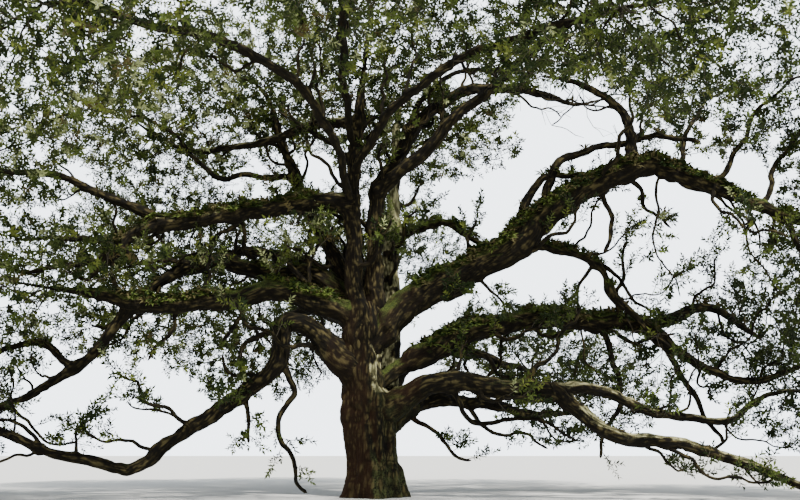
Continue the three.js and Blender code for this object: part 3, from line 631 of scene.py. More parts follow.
# Bare crooked branches that hang or climb from the limbs, too thin to be limbs of their own.
offshoots = namedRows(("name", "parent", "at", "length", "radius", "way", "leafy"), [
    ("left_twisted", "bough_left_low_sweep", 0.17, 5000, [120, 55], [[0, -41], [0, -50], [0, -68],
     [180, -55], [180, -58], [180, -86], [0, -60], [0, -56], [180, -80], [0, -46], [0, -40]]),
    ("left_hook", "bough_left_low_sweep", 0.05, 3000, [110, 50], [[180, 15], [180, -10], [180, -43],
     [180, -86], [0, -68], [180, -80]]),
    ("left_link", "bough_left_fern", 0.1, 2300, [130, 90], [[178, 46], [180, 42], [182, 36]]),
    ("left_far", "bough_left_dark", 0.72, 4000, [80, 35], [[186, -6], [190, 12], [188, -24], [186, -20],
     [186, 8]]),
    ("arch", "leader_back", 0.5, 4300, [180, 80], [[-20, 16], [-8, 24], [0, 14], [-4, -22], [0, -34],
     [0, -52], [0, -64]]),
    ("high_short", "bough_right_high", 0.38, 1700, [75, 35], [[0, -84], [0, -38], [0, -50], [0, -80]]),
    ("high_hanging", "limb_right_hanging", 0.5, 3200, [85, 35], [[0, -11], [0, -56], [0, -52], [0, -37],
     [0, -62]]),
    ("high_thin", "bough_right_high_outer", 0.08, 4200, [75, 30], [[0, -58], [0, -16], [0, -37], [0, -41],
     [176, -80]]),
    ("high_outer", "bough_right_high_outer", 0.68, 2700, [110, 50], [[0, -86], [0, -58], [0, -46],
     [0, -50]]),
    ("mid_hanging", "bough_right_mid", 0.82, 5000, [120, 50], [[0, -66], [0, -72], [0, -70], [180, -84],
     [180, -64], [180, -58], [0, -86]]),
    ("mid_outer_hanging", "bough_right_mid_fork", 0.12, 4300, [140, 60], [[0, -60], [0, -64], [0, -60],
     [0, -66], [0, -56], [0, -70]]),
    ("mid_thin", "bough_right_mid", 0.74, 2300, [46, 22], [[0, -60], [0, -84], [180, -84], [0, -50],
     [0, -56]]),
    ("high_hook", "bough_right_high", 0.82, 2500, [95, 60], [[0, -50], [0, -72], [0, -84], [180, -68],
     [180, -60]]),
    ("hanging_branch", "limb_right_hanging", 0.66, 2900, [110, 60], [[0, -30], [0, -58], [0, -50], [0, -30],
     [0, -62]]),
    ("hanging_drop", "limb_right_hanging", 0.52, 1900, [75, 40], [[180, -40], [180, -60], [180, -84],
     [0, -84]]),
    ("lit_outer", "bough_left_lit", 0.9, 3300, [115, 45], [[186, 24], [180, 14], [176, 2], [180, -8],
     [184, 14]]),
    ("lit_outer_low", "bough_left_lit", 0.97, 4000, [105, 40], [[180, 8], [186, -16], [184, -8], [176, 10],
     [180, 16]]),
    ("left_elbow", "bough_left_dark_outer", 0.38, 3600, [125, 75], [[180, 44], [180, 34], [180, 4],
     [180, -38], [180, -66]]),
    ("low_left_drop", "bough_left_dark_outer", 0.74, 3000, [65, 32], [[0, -6], [0, -40], [0, -52], [0, -30],
     [10, -10], [20, 20]]),
    ("low_left_link", "bough_left_low_rise", 0.3, 3200, [70, 32], [[180, 80], [180, 30], [180, 4],
     [180, 12], [180, -10]]),
    ("low_left_rise", "bough_left_low_rise", 0.2, 1500, [55, 28], [[0, 84], [180, 70], [0, 50], [0, 36]]),
    ("sweep_thin", "bough_left_low_sweep", 0.66, 2400, [52, 25], [[184, 14], [184, 34], [182, 0], [180, 10],
     [170, 60]]),
    ("sweep_drop", "bough_left_low_sweep", 0.4, 1600, [90, 48], [[0, -84], [0, -80], [180, -88]]),
    ("low_hanging", "bough_right_low", 0.42, 5000, [100, 40], [[10, -70], [10, -62], [10, -20], [0, 26],
     [0, -12], [0, -26], [0, -36]]),
    ("low_near_trunk", "bough_back_low", 0.16, 2900, [95, 45], [[-60, -48], [-20, -20], [0, -56], [0, -40],
     [0, -8]]),
    ("low_back_hanging", "bough_back_low", 0.45, 3600, [90, 40], [[-20, -50], [10, -64], [30, -10], [0, 12],
     [-10, -44], [0, -10]]),
    ("top_climber", "leader_centre", 0.72, 2600, [85, 40], [[-10, 34], [0, 52], [0, 64], [0, 44]]),
    ("left_climber", "bough_left_fern", 0.2, 2700, [80, 35], [[170, 84], [0, 84], [20, 50], [0, 70]]),
    ("high_arch", "bough_right_high", 0.63, 7300, [170, 80], [[0, 86], [0, 86], [0, 66], [0, 34], [0, 14],
     [0, 8], [0, 16], [-6, 4], [-8, -10], [-10, -40]]),
    ("high_stub", "bough_right_high", 0.54, 4900, [200, 60], [[0, 86], [180, 84], [0, 86], [0, 56], [0, 26],
     [0, 10], [0, -4], [0, -30], [0, -58]]),
    ("left_upper_crook", "leader_left", 0.7, 7200, [125, 45], [[186, -4], [182, 6], [180, 0], [180, -8],
     [180, 36], [178, 54], [180, 44], [180, 38], [180, 18], [180, -14]]),
    ("leader_cross", "leader_centre", 0.68, 3400, [110, 50], [[178, 28], [176, 44], [176, 24], [176, 52]]),
    ("top_arch", "leader_right", 0.5, 5600, [130, 50], [[-40, 76], [-10, 64], [-10, 40], [-10, 14],
     [-10, -22], [-8, -56]]),
    ("high_wisp", "bough_right_high_outer", 0.4, 3600, [50, 22], [[0, -80], [0, -60], [180, -86], [0, -50],
     [0, -74], [0, -40]]),
    ("high_wisp_near", "bough_right_high_outer", 0.05, 4600, [55, 22], [[180, -70], [0, -84], [180, -80],
     [0, -72], [0, -56], [0, -80]]),
    ("outer_rise", "bough_right_high_outer", 0.3, 5200, [110, 40], [[10, 66], [20, 48], [0, 66], [-30, 38],
     [-20, 20]], 6),
    ("outer_rise_far", "bough_right_high_outer", 0.55, 5000, [100, 40], [[30, 58], [10, 70], [-20, 44],
     [0, 52], [20, 24]], 6),
    ("outer_rise_back", "bough_right_high_outer", 0.12, 4800, [100, 40], [[60, 50], [40, 66], [20, 48],
     [30, 26]], 5),
])

# Side branches that every limb puts out by one rule: they leave it steeply and turn up at the end.
branching = {
    "seed": 4201,
    "spacing": 1150,  # along a limb
    "start": 0.24,  # share of the limb's length where the first one stands
    "lengths": [1600, 4200],
    "thickness": 0.36,  # of the limb's own radius there
    "thickest": 95,
    "thinnest": 34,
    "splay": [38, 78],  # degrees from the limb's own direction
    "rise": 30,
    "crook": 0.42,
    "crookLength": 1300,
    "offshootCrook": 0.2,
    "clearance": 400,  # of their ends above the ground
    "offshootClearance": 160,
}


def angleOf(direction):
    return [math.degrees(math.atan2(direction[1], direction[0])),
            math.degrees(math.asin(max(-1, min(1, direction[2]))))]


def sideBranches():
    random = seededRandom(branching["seed"])
    table = []
    for limb in limbs:
        line = lineOf[limb["name"]]
        count = math.floor(limb["length"] * (1 - branching["start"]) / branching["spacing"])
        for number in range(count):
            at = branching["start"] + (0.98 - branching["start"]) * (number + 0.7 * random()) / count
            place = round(at * (len(line) - 1))
            along = unit(line[min(place + 1, len(line) - 1)] - line[max(place - 1, 0)])
            least, most = branching["splay"]
            turn = math.radians(least + (most - least) * random())
            side = unit(np.cross(along, directionOf([360 * random(), 60 * random() - 20])))
            away = along * math.cos(turn) + side * math.sin(turn)
            heading, pitch = angleOf(unit(away))
            rise = branching["rise"] * (0.3 + random())
            low, high = branching["lengths"]
            radius = float(np.clip(branching["thickness"] * limbRadius(limb, at), branching["thinnest"],
                                   branching["thickest"]))
            table.append({"name": "%s_side_%d" % (limb["name"], number), "parent": limb["name"], "at": at,
                          "length": low + (high - low) * random(), "radius": [radius, 0.45 * radius],
                          "way": [[heading, pitch], [heading + 30 * random() - 15, pitch + rise],
                                  [heading + 60 * random() - 30, min(pitch + 2 * rise, 70)]]})
    return table


growLimbs(offshoots, lineOf, seeds["offshoots"], crook=branching["offshootCrook"],
          crookLength=branching["crookLength"])
sides = sideBranches()
growLimbs(sides, lineOf, seeds["sides"], crook=branching["crook"], crookLength=branching["crookLength"])


# A branch ends before it would run into the ground or far out of the crown's box.
lowCorner, highCorner = np.array(cadBox[0]) / mm, np.array(cadBox[1]) / mm


def keepInside(limb, clear):
    line = lineOf[limb["name"]]
    inside = (line[:, 2] > clear) & (line > lowCorner).all(axis=1) & (line < highCorner).all(axis=1)
    inside[:2] = True
    end = len(line) if inside.all() else int(np.argmin(inside))
    if end < len(line):
        lineOf[limb["name"]] = line[:end]
    return end > 3


offshoots = [limb for limb in offshoots if keepInside(limb, branching["offshootClearance"])]
sides = [limb for limb in sides if keepInside(limb, branching["clearance"])]
print("limbs grown:", len(limbs), "limbs,", len(offshoots), "offshoots,", len(sides), "side branches")


finer = {
    "endsPerCubicMetre": 1.3,  # fine twig ends in a mass
    "reach": 0.95,
    "hollow": 0.2,
    "pieceLength": 420,  # twigs bend at about this spacing
    "bend": 0.13,
    "endRadius": 8.5,
    "joined": 0.97,  # share of a twig's cross section that its parent's gains
    "fullness": {"foliage_left_top": 1.35, "foliage_top_left": 1.5, "foliage_left_shoulder": 1.15,
                 "foliage_front_left": 1.25, "foliage_left_back": 1.2, "foliage_crown_top": 1.2,
                 "foliage_right_hanging": 0.5},
    "stoutest": 32,  # twigs from this radius up have a skin of bark of their own
    "stemSpacing": 250,
    "spraySpacing": 155,
    "sprayStart": 0.3,
    "sideTwigs": 6,  # fine twigs at the end of each side branch
    "sideTwigLength": 780,
    "sideBare": [0.45, 0.2],  # share of a side branch without twigs, and of an offshoot with many
    "sideSpread": [0.9, 1.6],
    "sideSeed": 8123,
    "leafyBelow": 60,  # an offshoot with a thinner tip than this has leaves
    "lowestTwig": 500,  # above the ground
}


# Openings in the crown along the lines of sight from the eye: the middle and the reach of each,
# across and up, in metres on the plane through the trunk.
openings = {"places": [[6.75, 12.6, 2.5, 1.8], [2.7, 14.3, 0.8, 0.65]], "edge": [0.6, 1.15], "seed": 907}
openingRandom = seededRandom(openings["seed"])


def isOpen(place):
    toward = place * mm - eye
    across, _, up = eye - toward * eye[1] / toward[1]
    depth = min(((across - x) / wide) ** 2 + ((up - z) / high) ** 2
                for x, z, wide, high in openings["places"])
    return depth < openings["edge"][1] and openingRandom() > smoothStep(depth, *openings["edge"])


# The points between two ends of a twig, pushed sideways so that it runs crooked.
def bentPath(start, end, random):
    length = float(np.linalg.norm(end - start))
    count = max(2, round(length / finer["pieceLength"]))
    path = [start]
    side = unit(np.cross(end - start, directionOf([360 * random(), 180 * random() - 90])))
    over = unit(np.cross(end - start, side))
    for i in range(1, count):
        share = i / count
        push = finer["bend"] * length * math.sin(math.pi * share) / math.sqrt(count)
        path.append(start + (end - start) * share + side * push * (2 * random() - 1)
                    + over * push * (2 * random() - 1))
    return path + [end]


# Every twig and spray of one mass: the source's own twigs first, then finer ones that join them.
def growMass(own):
    space = spaces[own]
    random = seededRandom(seeds["foliage"] + seeds["foliageStep"] * own)
    places = list(space["stem"])
    parents = [-1, 0, 1]
    paths = [float(np.linalg.norm(place - places[0])) for place in places]
    ends = twigEnds(own, random, growth["sprays"], growth["hollow"], growth["fill"])
    joinTwigs(places, parents, paths, ends, own)

    twigs = []  # each is a list of node numbers, from its root to its end
    stemLine = smoothLine(space["stem"], finer["pieceLength"])
    detailed, above, path = [stemLine[0]], [-1], [0.0]
    atNode = {0: 0}

    def addRun(root, run):
        chain = [root]
        for place in run:
            detailed.append(place)
            above.append(chain[-1])
            path.append(path[chain[-1]] + float(np.linalg.norm(place - detailed[chain[-1]])))
            chain.append(len(detailed) - 1)
        twigs.append(chain)
        return chain

    stem = addRun(0, stemLine[1:])
    elbowNode = stem[int(np.argmin([np.linalg.norm(detailed[i] - places[1]) for i in stem]))]
    atNode.update({1: elbowNode, 2: stem[-1]})
    for node in range(3, len(places)):
        root = atNode[parents[node]]
        chain = addRun(root, bentPath(detailed[root], places[node], random)[1:])
        atNode[node] = chain[-1]

    volume = 4 / 3 * math.pi * np.prod(np.array(space["reach"]) / 1000)
    count = round(finer["endsPerCubicMetre"] * float(volume) * finer["fullness"].get(space["name"], 1))
    fineEnds = twigEnds(own, random, count, finer["hollow"], finer["reach"])
    allPlaces, allParents, allPaths = list(detailed), list(above), list(path)
    added = joinTwigs(allPlaces, allParents, allPaths, fineEnds, own)
    where = {i: i for i in range(len(detailed))}
    fine = []
    for node in added:
        root = where[allParents[node]]
        chain = addRun(root, bentPath(detailed[root], allPlaces[node], random)[1:])
        where[node] = chain[-1]
        fine.append(chain)

    area = np.full(len(detailed), 0.0)
    for i in range(len(detailed) - 1, 0, -1):
        area[i] = max(area[i], finer["endRadius"] ** 2)
        area[above[i]] += area[i] * finer["joined"]
    radii = np.minimum(np.sqrt(area), space["stemRadius"])
    radii[0] = space["stemRadius"]
    detailed = np.array(detailed)
    kept, rooted = [], set()
    for chain in reversed(fine):
        if rooted.isdisjoint(chain[1:]) and isOpen(detailed[chain[-1]]):
            continue
        rooted.add(chain[0])
        kept.append(chain)
    bare = {chain[-1] for chain in fine} - {chain[-1] for chain in kept}
    twigs = [chain for chain in twigs if chain[-1] not in bare]
    sprays = []
    for chain in fine:
        sprays += spraysAlong(detailed[chain], random)
    stemLine = smoothLine(detailed[stem], finer["stemSpacing"])
    stemRadii = spreadOver(radii[stem], len(stemLine))
    grown = [(detailed[chain], np.concatenate([[radii[chain[1]]], radii[chain[1:]]])) for chain in twigs[1:]]
    return {"stem": (stemLine, stemRadii), "sprays": sprays,
            "stout": [twig for twig in grown if twig[1][0] >= finer["stoutest"]],
            "thin": [twig for twig in grown if twig[1][0] < finer["stoutest"]]}


# Places and directions of the leaf sprays along a fine twig and at its end.
def spraysAlong(line, random):
    along = lengthsAlong(line)
    begin = finer["sprayStart"] * along[-1]
    count = max(1, round((along[-1] - begin) / finer["spraySpacing"]))
    found = []
    for i in range(count + 1):
        distance = begin + (along[-1] - begin) * i / count
        place = np.array([np.interp(distance, along, line[:, k]) for k in range(3)])
        ahead = unit(line[-1] - line[0])
        sideways = directionOf([360 * random(), 150 * random() - 60])
        share = 0.25 if i == count else 0.95
        found.append((place, unit(ahead + sideways * share), 0.8 + 0.45 * random()))
    return found


grownMasses = [growMass(own) for own in range(len(spaces))]
print("twigs grown:", {kind: sum(len(mass[kind]) for mass in grownMasses)
                       for kind in ("stout", "thin", "sprays")})


# A node with its settings and inputs; each input is a value or another node's socket.
def newNode(tree, kind, inputs=None, **settings):
    node = tree.nodes.new(kind)
    for name, value in settings.items():
        setattr(node, name, value)
    for name, value in (inputs or {}).items():
        if isinstance(value, bpy.types.NodeSocket):
            tree.links.new(value, node.inputs[name])
        else:
            node.inputs[name].default_value = value
    return node


# A shared effect: uneven tone and fine grain over places given in metres.
def makeWeathering():
    group = bpy.data.node_groups.new("weathering", "ShaderNodeTree")
    group.interface.new_socket("Place", in_out="INPUT", socket_type="NodeSocketVector")
    for name, value in (("Patch Scale", 1.4), ("Grain Scale", 34.0), ("Grain Share", 0.4)):
        group.interface.new_socket(name, in_out="INPUT", socket_type="NodeSocketFloat").default_value = value
    for name in ("Tone", "Grain"):
        group.interface.new_socket(name, in_out="OUTPUT", socket_type="NodeSocketFloat")
    given = newNode(group, "NodeGroupInput").outputs
    patches, grain = [newNode(group, "ShaderNodeTexNoise", {
        "Vector": given["Place"], "Scale": given[scale], "Detail": detail}).outputs["Fac"]
        for scale, detail in (("Patch Scale", 4), ("Grain Scale", 5))]
    tone = mixNumbers(group, given["Grain Share"], patches, grain)
    newNode(group, "NodeGroupOutput", {"Tone": tone, "Grain": grain})
    return group


def mixNumbers(tree, factor, first, second):
    return newNode(tree, "ShaderNodeMix", {0: factor, 2: first, 3: second}, data_type="FLOAT").outputs[0]


def mixColours(tree, factor, first, second):
    first, second = [(*colour, 1) if isinstance(colour, tuple) else colour for colour in (first, second)]
    return newNode(tree, "ShaderNodeMix", {0: factor, 6: first, 7: second}, data_type="RGBA").outputs[2]


def startMaterial(name, roughness, specular=0.3):
    material = bpy.data.materials.new(name)
    material.use_nodes = True
    shader = material.node_tree.nodes["Principled BSDF"]
    shader.inputs["Roughness"].default_value = roughness
    shader.inputs["Specular IOR Level"].default_value = specular
    return material, material.node_tree, shader


def colourRamp(tree, factor, stops):
    ramp = newNode(tree, "ShaderNodeValToRGB", {"Fac": factor})
    elements = ramp.color_ramp.elements
    while len(elements) < len(stops):
        elements.new(0.5)
    for element, (place, colour) in zip(elements, stops):
        element.position = place
        element.color = (*colour, 1)
    return ramp.outputs["Color"]


def product(tree, first, second):
    return newNode(tree, "ShaderNodeMath", {0: first, 1: second}, operation="MULTIPLY").outputs[0]


# 0 below the low value, 1 above the high one.
def stepped(tree, value, low, high):
    return newNode(tree, "ShaderNodeMapRange", {
        "Value": value, "From Min": low, "From Max": high}).outputs["Result"]


def attributeOf(tree, name, output="Fac"):
    return newNode(tree, "ShaderNodeAttribute", attribute_name=name).outputs[output]


def weatheredBy(tree, place, patchScale, grainScale, grainShare):
    return newNode(tree, "ShaderNodeGroup", {
        "Place": place, "Patch Scale": patchScale, "Grain Scale": grainScale, "Grain Share": grainShare,
    }, node_tree=weathering).outputs


weathering = makeWeathering()

barkColours = {
    # the furrows' own dark bark deepened by painted shade
    "furrowDarkAndShade": (0.0020, 0.0015, 0.0006),
    "plate": (0.0100, 0.0076, 0.0028),
    "ridge": (0.069, 0.056, 0.022),
    "crust": (0.068, 0.064, 0.029),  # lichen in the furrows
    "lichen": (0.37, 0.35, 0.19),
    # painted shade on the undersides of the limbs
    "under": (0.0045, 0.0035, 0.0015),
    "ruddy": (0.024, 0.0098, 0.0032),
    "algae": (0.062, 0.074, 0.025),
    "moss": (0.011, 0.018, 0.0035),
    "mossTip": (0.070, 0.088, 0.018),
    "roughness": 0.94,
    "stretch": 0.17,  # of the streaks' pattern along the limb
    "grainShare": 0.5,  # against the height of the plates
    "streaks": [1.6, 17, 0.5],  # scales of patches and grain, and the grain's share
    "fine": [4.5, 30, 0.6],
    "bumps": [(0.9, 0.035), (0.8, 0.012)],  # strength and distance, for streaks and fine grain
}


# Bark: dark furrows, their own dark bark deepened by painted shade, and paler plates along the limb, then
# lichen with painted sunlight, moss, stains and painted shade on the undersides by their masks.
def makeBark():
    look = barkColours
    material, tree, shader = startMaterial("oakBark", look["roughness"], 0.15)
    place = attributeOf(tree, "barkPlace", "Vector")
    long = newNode(tree, "ShaderNodeMapping", {"Scale": (1, 1, look["stretch"]), "Vector": place})
    streaks = weatheredBy(tree, long.outputs["Vector"], *look["streaks"])
    fine = weatheredBy(tree, place, *look["fine"])
    masks = {name: attributeOf(tree, name)
             for name in ("height", "ruddy", "lichen", "under", "algae", "moss")}
    plates = mixNumbers(tree, look["grainShare"], masks["height"], streaks["Grain"])
    colour = colourRamp(tree, plates, [(0.41, look["furrowDarkAndShade"]), (0.52, look["plate"]), (0.66, look["ridge"])])
    colour = mixColours(tree, product(tree, masks["ruddy"], 0.7), colour, look["ruddy"])
    # The lichen mask also carries painted sunlight on the sunlit boughs and in the trunk's fork.
    crusted = product(tree, masks["lichen"], fine["Tone"])
    lichen = product(tree, masks["lichen"], stepped(tree, crusted, 0.36, 0.6))
    pale = colourRamp(tree, plates, [(0.43, look["crust"]), (0.6, look["lichen"])])
    colour = mixColours(tree, lichen, colour, pale)
    # Painted shade darkens the undersides of the limbs.
    colour = mixColours(tree, product(tree, masks["under"], 0.85), colour, look["under"])
    patch = stepped(tree, fine["Tone"], 0.44, 0.58)
    colour = mixColours(tree, product(tree, masks["algae"], patch), colour, look["algae"])
    mossColour = colourRamp(tree, fine["Grain"], [(0.4, look["moss"]), (0.66, look["mossTip"])])
    colour = mixColours(tree, masks["moss"], colour, mossColour)
    tree.links.new(colour, shader.inputs["Base Color"])
    normal = {}
    for height, (strength, distance) in zip((streaks["Grain"], fine["Grain"]), look["bumps"]):
        bump = newNode(tree, "ShaderNodeBump", {
            "Strength": strength, "Distance": distance, "Height": height, **normal})
        normal = {"Normal": bump.outputs["Normal"]}
    tree.links.new(normal["Normal"], shader.inputs["Normal"])
    return material


def makeTwigBark():
    material, tree, shader = startMaterial("twigBark", 0.88, 0.25)
    place = newNode(tree, "ShaderNodeTexCoord").outputs["Object"]
    tone = weatheredBy(tree, place, 0.5, 9, 0.3)["Tone"]
    colour = colourRamp(tree, tone, [(0.42, (0.010, 0.008, 0.0055)), (0.60, (0.075, 0.064, 0.044))])
    tree.links.new(colour, shader.inputs["Base Color"])
    return material


# One plain base colour for each tint that is dealt out by spray, and its roughness; the pale tint is painted
# sunlight on the leaves.
leafTints = [
    ("leafDeep", (0.010, 0.019, 0.0035), 0.6),
    ("leafOlive", (0.028, 0.041, 0.0075), 0.6),
    ("leafGreen", (0.064, 0.090, 0.016), 0.6),
    ("leafYellow", (0.125, 0.150, 0.026), 0.6),
    ("leafPale", (0.250, 0.280, 0.125), 0.5),
    ("leafBronze", (0.070, 0.056, 0.018), 0.6),
]
# The first two fern tints are one fern green in painted shade and in painted sunlight.
fernTints = [("fernDark", (0.014, 0.026, 0.005), 0.7), ("fernLit", (0.070, 0.096, 0.018), 0.65),
             ("fernDry", (0.075, 0.065, 0.026), 0.75)]
sprigTints = [("sprigBark", (0.12, 0.105, 0.07), 0.8)]


def makeTints(table):
    found = []
    for name, colour, roughness in table:
        material, tree, shader = startMaterial(name, roughness, 0.12)
        shader.inputs["Base Color"].default_value = (*colour, 1)
        found.append(material)
    return found


oakBark, twigBark = makeBark(), makeTwigBark()
leafMaterials, fernMaterials, sprigMaterials = [
    makeTints(table) for table in (leafTints, fernTints, sprigTints)]
print("materials made")


# A node tree for a modifier: the tree, and what it is given.
def openTree(name, inputs):
    tree = bpy.data.node_groups.new(name, "GeometryNodeTree")
    tree.interface.new_socket("Geometry", in_out="INPUT", socket_type="NodeSocketGeometry")
    for label, kind, value in inputs:
        socket = tree.interface.new_socket(label, in_out="INPUT", socket_type="NodeSocket" + kind)
        if value is not None:
            socket.default_value = value
    tree.interface.new_socket("Geometry", in_out="OUTPUT", socket_type="NodeSocketGeometry")
    return tree, newNode(tree, "NodeGroupInput").outputs


def closeTree(tree, geometry):
    newNode(tree, "NodeGroupOutput", {"Geometry": geometry})
    return tree


def namedNumber(tree, name, kind="FLOAT"):
    named = newNode(tree, "GeometryNodeInputNamedAttribute", {"Name": name}, data_type=kind)
    return named.outputs["Attribute"]


def storedNumber(tree, geometry, name, value, kind="FLOAT"):
    return newNode(tree, "GeometryNodeStoreNamedAttribute", {
        "Geometry": geometry, "Name": name, "Value": value}, data_type=kind).outputs["Geometry"]


# Gives each face the material of its tint number, one Set Material for each tint.
def setTints(tree, geometry, materials):
    tint = namedNumber(tree, "tint")
    for number, material in enumerate(materials):
        same = newNode(tree, "FunctionNodeCompare", {"A": tint, "B": number, "Epsilon": 0.4},
                       data_type="FLOAT", operation="EQUAL")
        painted = newNode(tree, "GeometryNodeSetMaterial", {
            "Geometry": geometry, "Material": material, "Selection": same.outputs["Result"]})
        geometry = painted.outputs["Geometry"]
    return geometry


# Stands one of the shapes on every point, along the point's own direction, turned about it at random.
def makeSprayTree(name, materials):
    tree, given = openTree(name, [("Shapes", "Collection", None), ("Size", "Float", 1.0), ("Seed", "Int", 1)])
    shapes = newNode(tree, "GeometryNodeCollectionInfo", {
        "Collection": given["Shapes"], "Separate Children": True, "Reset Children": True},
        transform_space="ORIGINAL")
    heading = namedNumber(tree, "heading", "FLOAT_VECTOR")
    aim = newNode(tree, "FunctionNodeAlignRotationToVector", {"Vector": heading}, axis="Z")
    spin = newNode(tree, "FunctionNodeRandomValue", {"Max": 2 * math.pi, "Seed": given["Seed"]},
                   data_type="FLOAT")
    about = newNode(tree, "FunctionNodeAxisAngleToRotation", {"Axis": (0, 0, 1), "Angle": spin.outputs[1]})
    turn = newNode(tree, "FunctionNodeRotateRotation", {
        "Rotation": aim.outputs["Rotation"], "Rotate By": about.outputs["Rotation"]}, rotation_space="LOCAL")
    pick = newNode(tree, "FunctionNodeRandomValue", {"Min": 0, "Max": 30, "Seed": given["Seed"]},
                   data_type="INT")
    stand = newNode(tree, "GeometryNodeInstanceOnPoints", {
        "Points": given["Geometry"], "Instance": shapes.outputs[0], "Pick Instance": True,
        "Instance Index": pick.outputs[2], "Rotation": turn.outputs["Rotation"],
        "Scale": product(tree, namedNumber(tree, "size"), given["Size"])})
    real = newNode(tree, "GeometryNodeRealizeInstances", {"Geometry": stand.outputs["Instances"]})
    return closeTree(tree, setTints(tree, real.outputs["Geometry"], materials))


# Sweeps a few-sided section along every twig line, as thick as the line's own numbers say.
def makeTwigTree():
    tree, given = openTree("twigSweep", [
        ("Sides", "Int", 3), ("Thickness", "Float", 1.0), ("Bark", "Material", None)])
    curve = newNode(tree, "GeometryNodeMeshToCurve", {"Mesh": given["Geometry"]})
    section = newNode(tree, "GeometryNodeCurvePrimitiveCircle", {"Resolution": given["Sides"], "Radius": 1})
    sweep = newNode(tree, "GeometryNodeCurveToMesh", {
        "Curve": curve.outputs["Curve"], "Profile Curve": section.outputs["Curve"], "Fill Caps": True,
        "Scale": product(tree, namedNumber(tree, "size"), given["Thickness"])})
    real = newNode(tree, "GeometryNodeRealizeInstances", {"Geometry": sweep.outputs["Mesh"]})
    painted = newNode(tree, "GeometryNodeSetMaterial", {
        "Geometry": real.outputs["Geometry"], "Material": given["Bark"]})
    return closeTree(tree, painted.outputs["Geometry"])


# Runs the tree on a mesh and keeps the result as a plain mesh object at the origin.
def runTree(name, mesh, tree, settings):
    carrier = putInScene(name + "Carrier", mesh)
    modifier = carrier.modifiers.new("grow", "NODES")
    modifier.node_group = tree
    for item in tree.interface.items_tree:
        if item.item_type == "SOCKET" and item.in_out == "INPUT" and item.name in settings:
            modifier[item.identifier] = settings[item.name]
    bpy.context.view_layer.update()
    graph = bpy.context.evaluated_depsgraph_get()
    result = bpy.data.meshes.new_from_object(carrier.evaluated_get(graph), depsgraph=graph)
    result.name = name
    for label in [item.name for item in result.attributes if item.name in ("heading", "size", "tint")]:
        result.attributes.remove(result.attributes[label])
    bpy.data.objects.remove(carrier)
    bpy.data.meshes.remove(mesh)
    return putInScene(name, result)


def runOnPoints(name, points, edges, numbers, tree, settings):
    mesh = bpy.data.meshes.new(name + "Carrier")
    mesh.vertices.add(len(points))
    mesh.vertices.foreach_set("co", (np.asarray(points) * mm).ravel())
    if len(edges):
        mesh.edges.add(len(edges))
        mesh.edges.foreach_set("vertices", np.asarray(edges).ravel())
    for label, values in numbers.items():
        setNumbers(mesh, label, values)
    return runTree(name, mesh, tree, settings)


maskNames = ("height", "barkPlace", "moss", "lichen", "under", "ruddy", "algae")


# Runs the tree on copies of several meshes joined, with one number for each of their points.
def runOnMeshes(name, carriers, label, tree, settings):
    joined = bmesh.new()
    for mesh, values in carriers:
        copy = mesh.copy()
        for item in [item.name for item in copy.attributes if item.name in maskNames]:
            copy.attributes.remove(copy.attributes[item])
        setNumbers(copy, label, values)
        joined.from_mesh(copy)
        bpy.data.meshes.remove(copy)
    mesh = bpy.data.meshes.new(name + "Carrier")
    joined.to_mesh(mesh)
    joined.free()
    return runTree(name, mesh, tree, settings)


leafShape = {
    "leaves": 12,
    "stemLength": 0.34,  # metres, of a whole spray
    "stemRadius": 0.0055,
    "leafLength": 0.145,
    "leafWidth": 0.068,
    "widest": 0.46,  # share of a leaf's length
    "fold": 0.015,  # how far a leaf's middle lies below its edges
    "lean": [35, 85],  # degrees from the stem
    "shapes": 5,
    "seed": 61,
}


# A few spray shapes: small leaves set spirally up a stem, each two faces folded along the middle.
def makeLeafShapes():
    look = leafShape
    random = seededRandom(look["seed"])
    leaves, stems = bpy.data.collections.new("leafShapes"), bpy.data.collections.new("sprigShapes")
    for shape in range(look["shapes"]):
        points, faces = [], []
        for number in range(look["leaves"]):
            share = (number + 0.6) / look["leaves"]
            turn = math.radians(137.5 * number + 40 * random())
            low, high = look["lean"]
            lean = math.radians(high + (low - high) * share + 24 * (random() - 0.5))
            out = np.array([math.cos(turn), math.sin(turn), 0])
            ahead = unit(out * math.sin(lean) + np.array([0, 0, 1]) * math.cos(lean))
            wide = unit(np.cross(ahead, [0, 0, 1]) + ahead * 0.001 + (random() - 0.5) * np.array([0, 0, 1.3]))
            over = unit(np.cross(wide, ahead))
            length = look["leafLength"] * (0.75 + 0.5 * random())
            half = look["leafWidth"] / 2 * (0.8 + 0.4 * random())
            foot = np.array([0, 0, share * look["stemLength"]])
            first = len(points)
            middle = look["widest"]
            for along, across, lift in ((0, 0, 0), (middle, 1, 1), (1, 0, 0), (middle, -1, 1)):
                points.append(foot + ahead * length * along + wide * half * across
                              + over * look["fold"] * lift)
            faces += [[first, first + 1, first + 2], [first, first + 2, first + 3]]
        addShape(leaves, "leafSpray%d" % shape, points, faces)
        ring = [look["stemRadius"] * np.array([math.cos(a), math.sin(a), 0]) for a in (0, 2.094, 4.189)]
        addShape(stems, "sprig%d" % shape, ring + [np.array([0, 0, look["stemLength"]])],
                 [[0, 1, 3], [1, 2, 3], [2, 0, 3], [2, 1, 0]])
    return leaves, stems


def addShape(collection, name, points, faces):
    mesh = bpy.data.meshes.new(name)
    mesh.from_pydata([tuple(point) for point in points], [], faces)
    collection.objects.link(bpy.data.objects.new(name, mesh))


def finishPiece(piece, nodes):
    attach(piece, "root")
    if nodes:
        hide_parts(*nodes)
    return piece
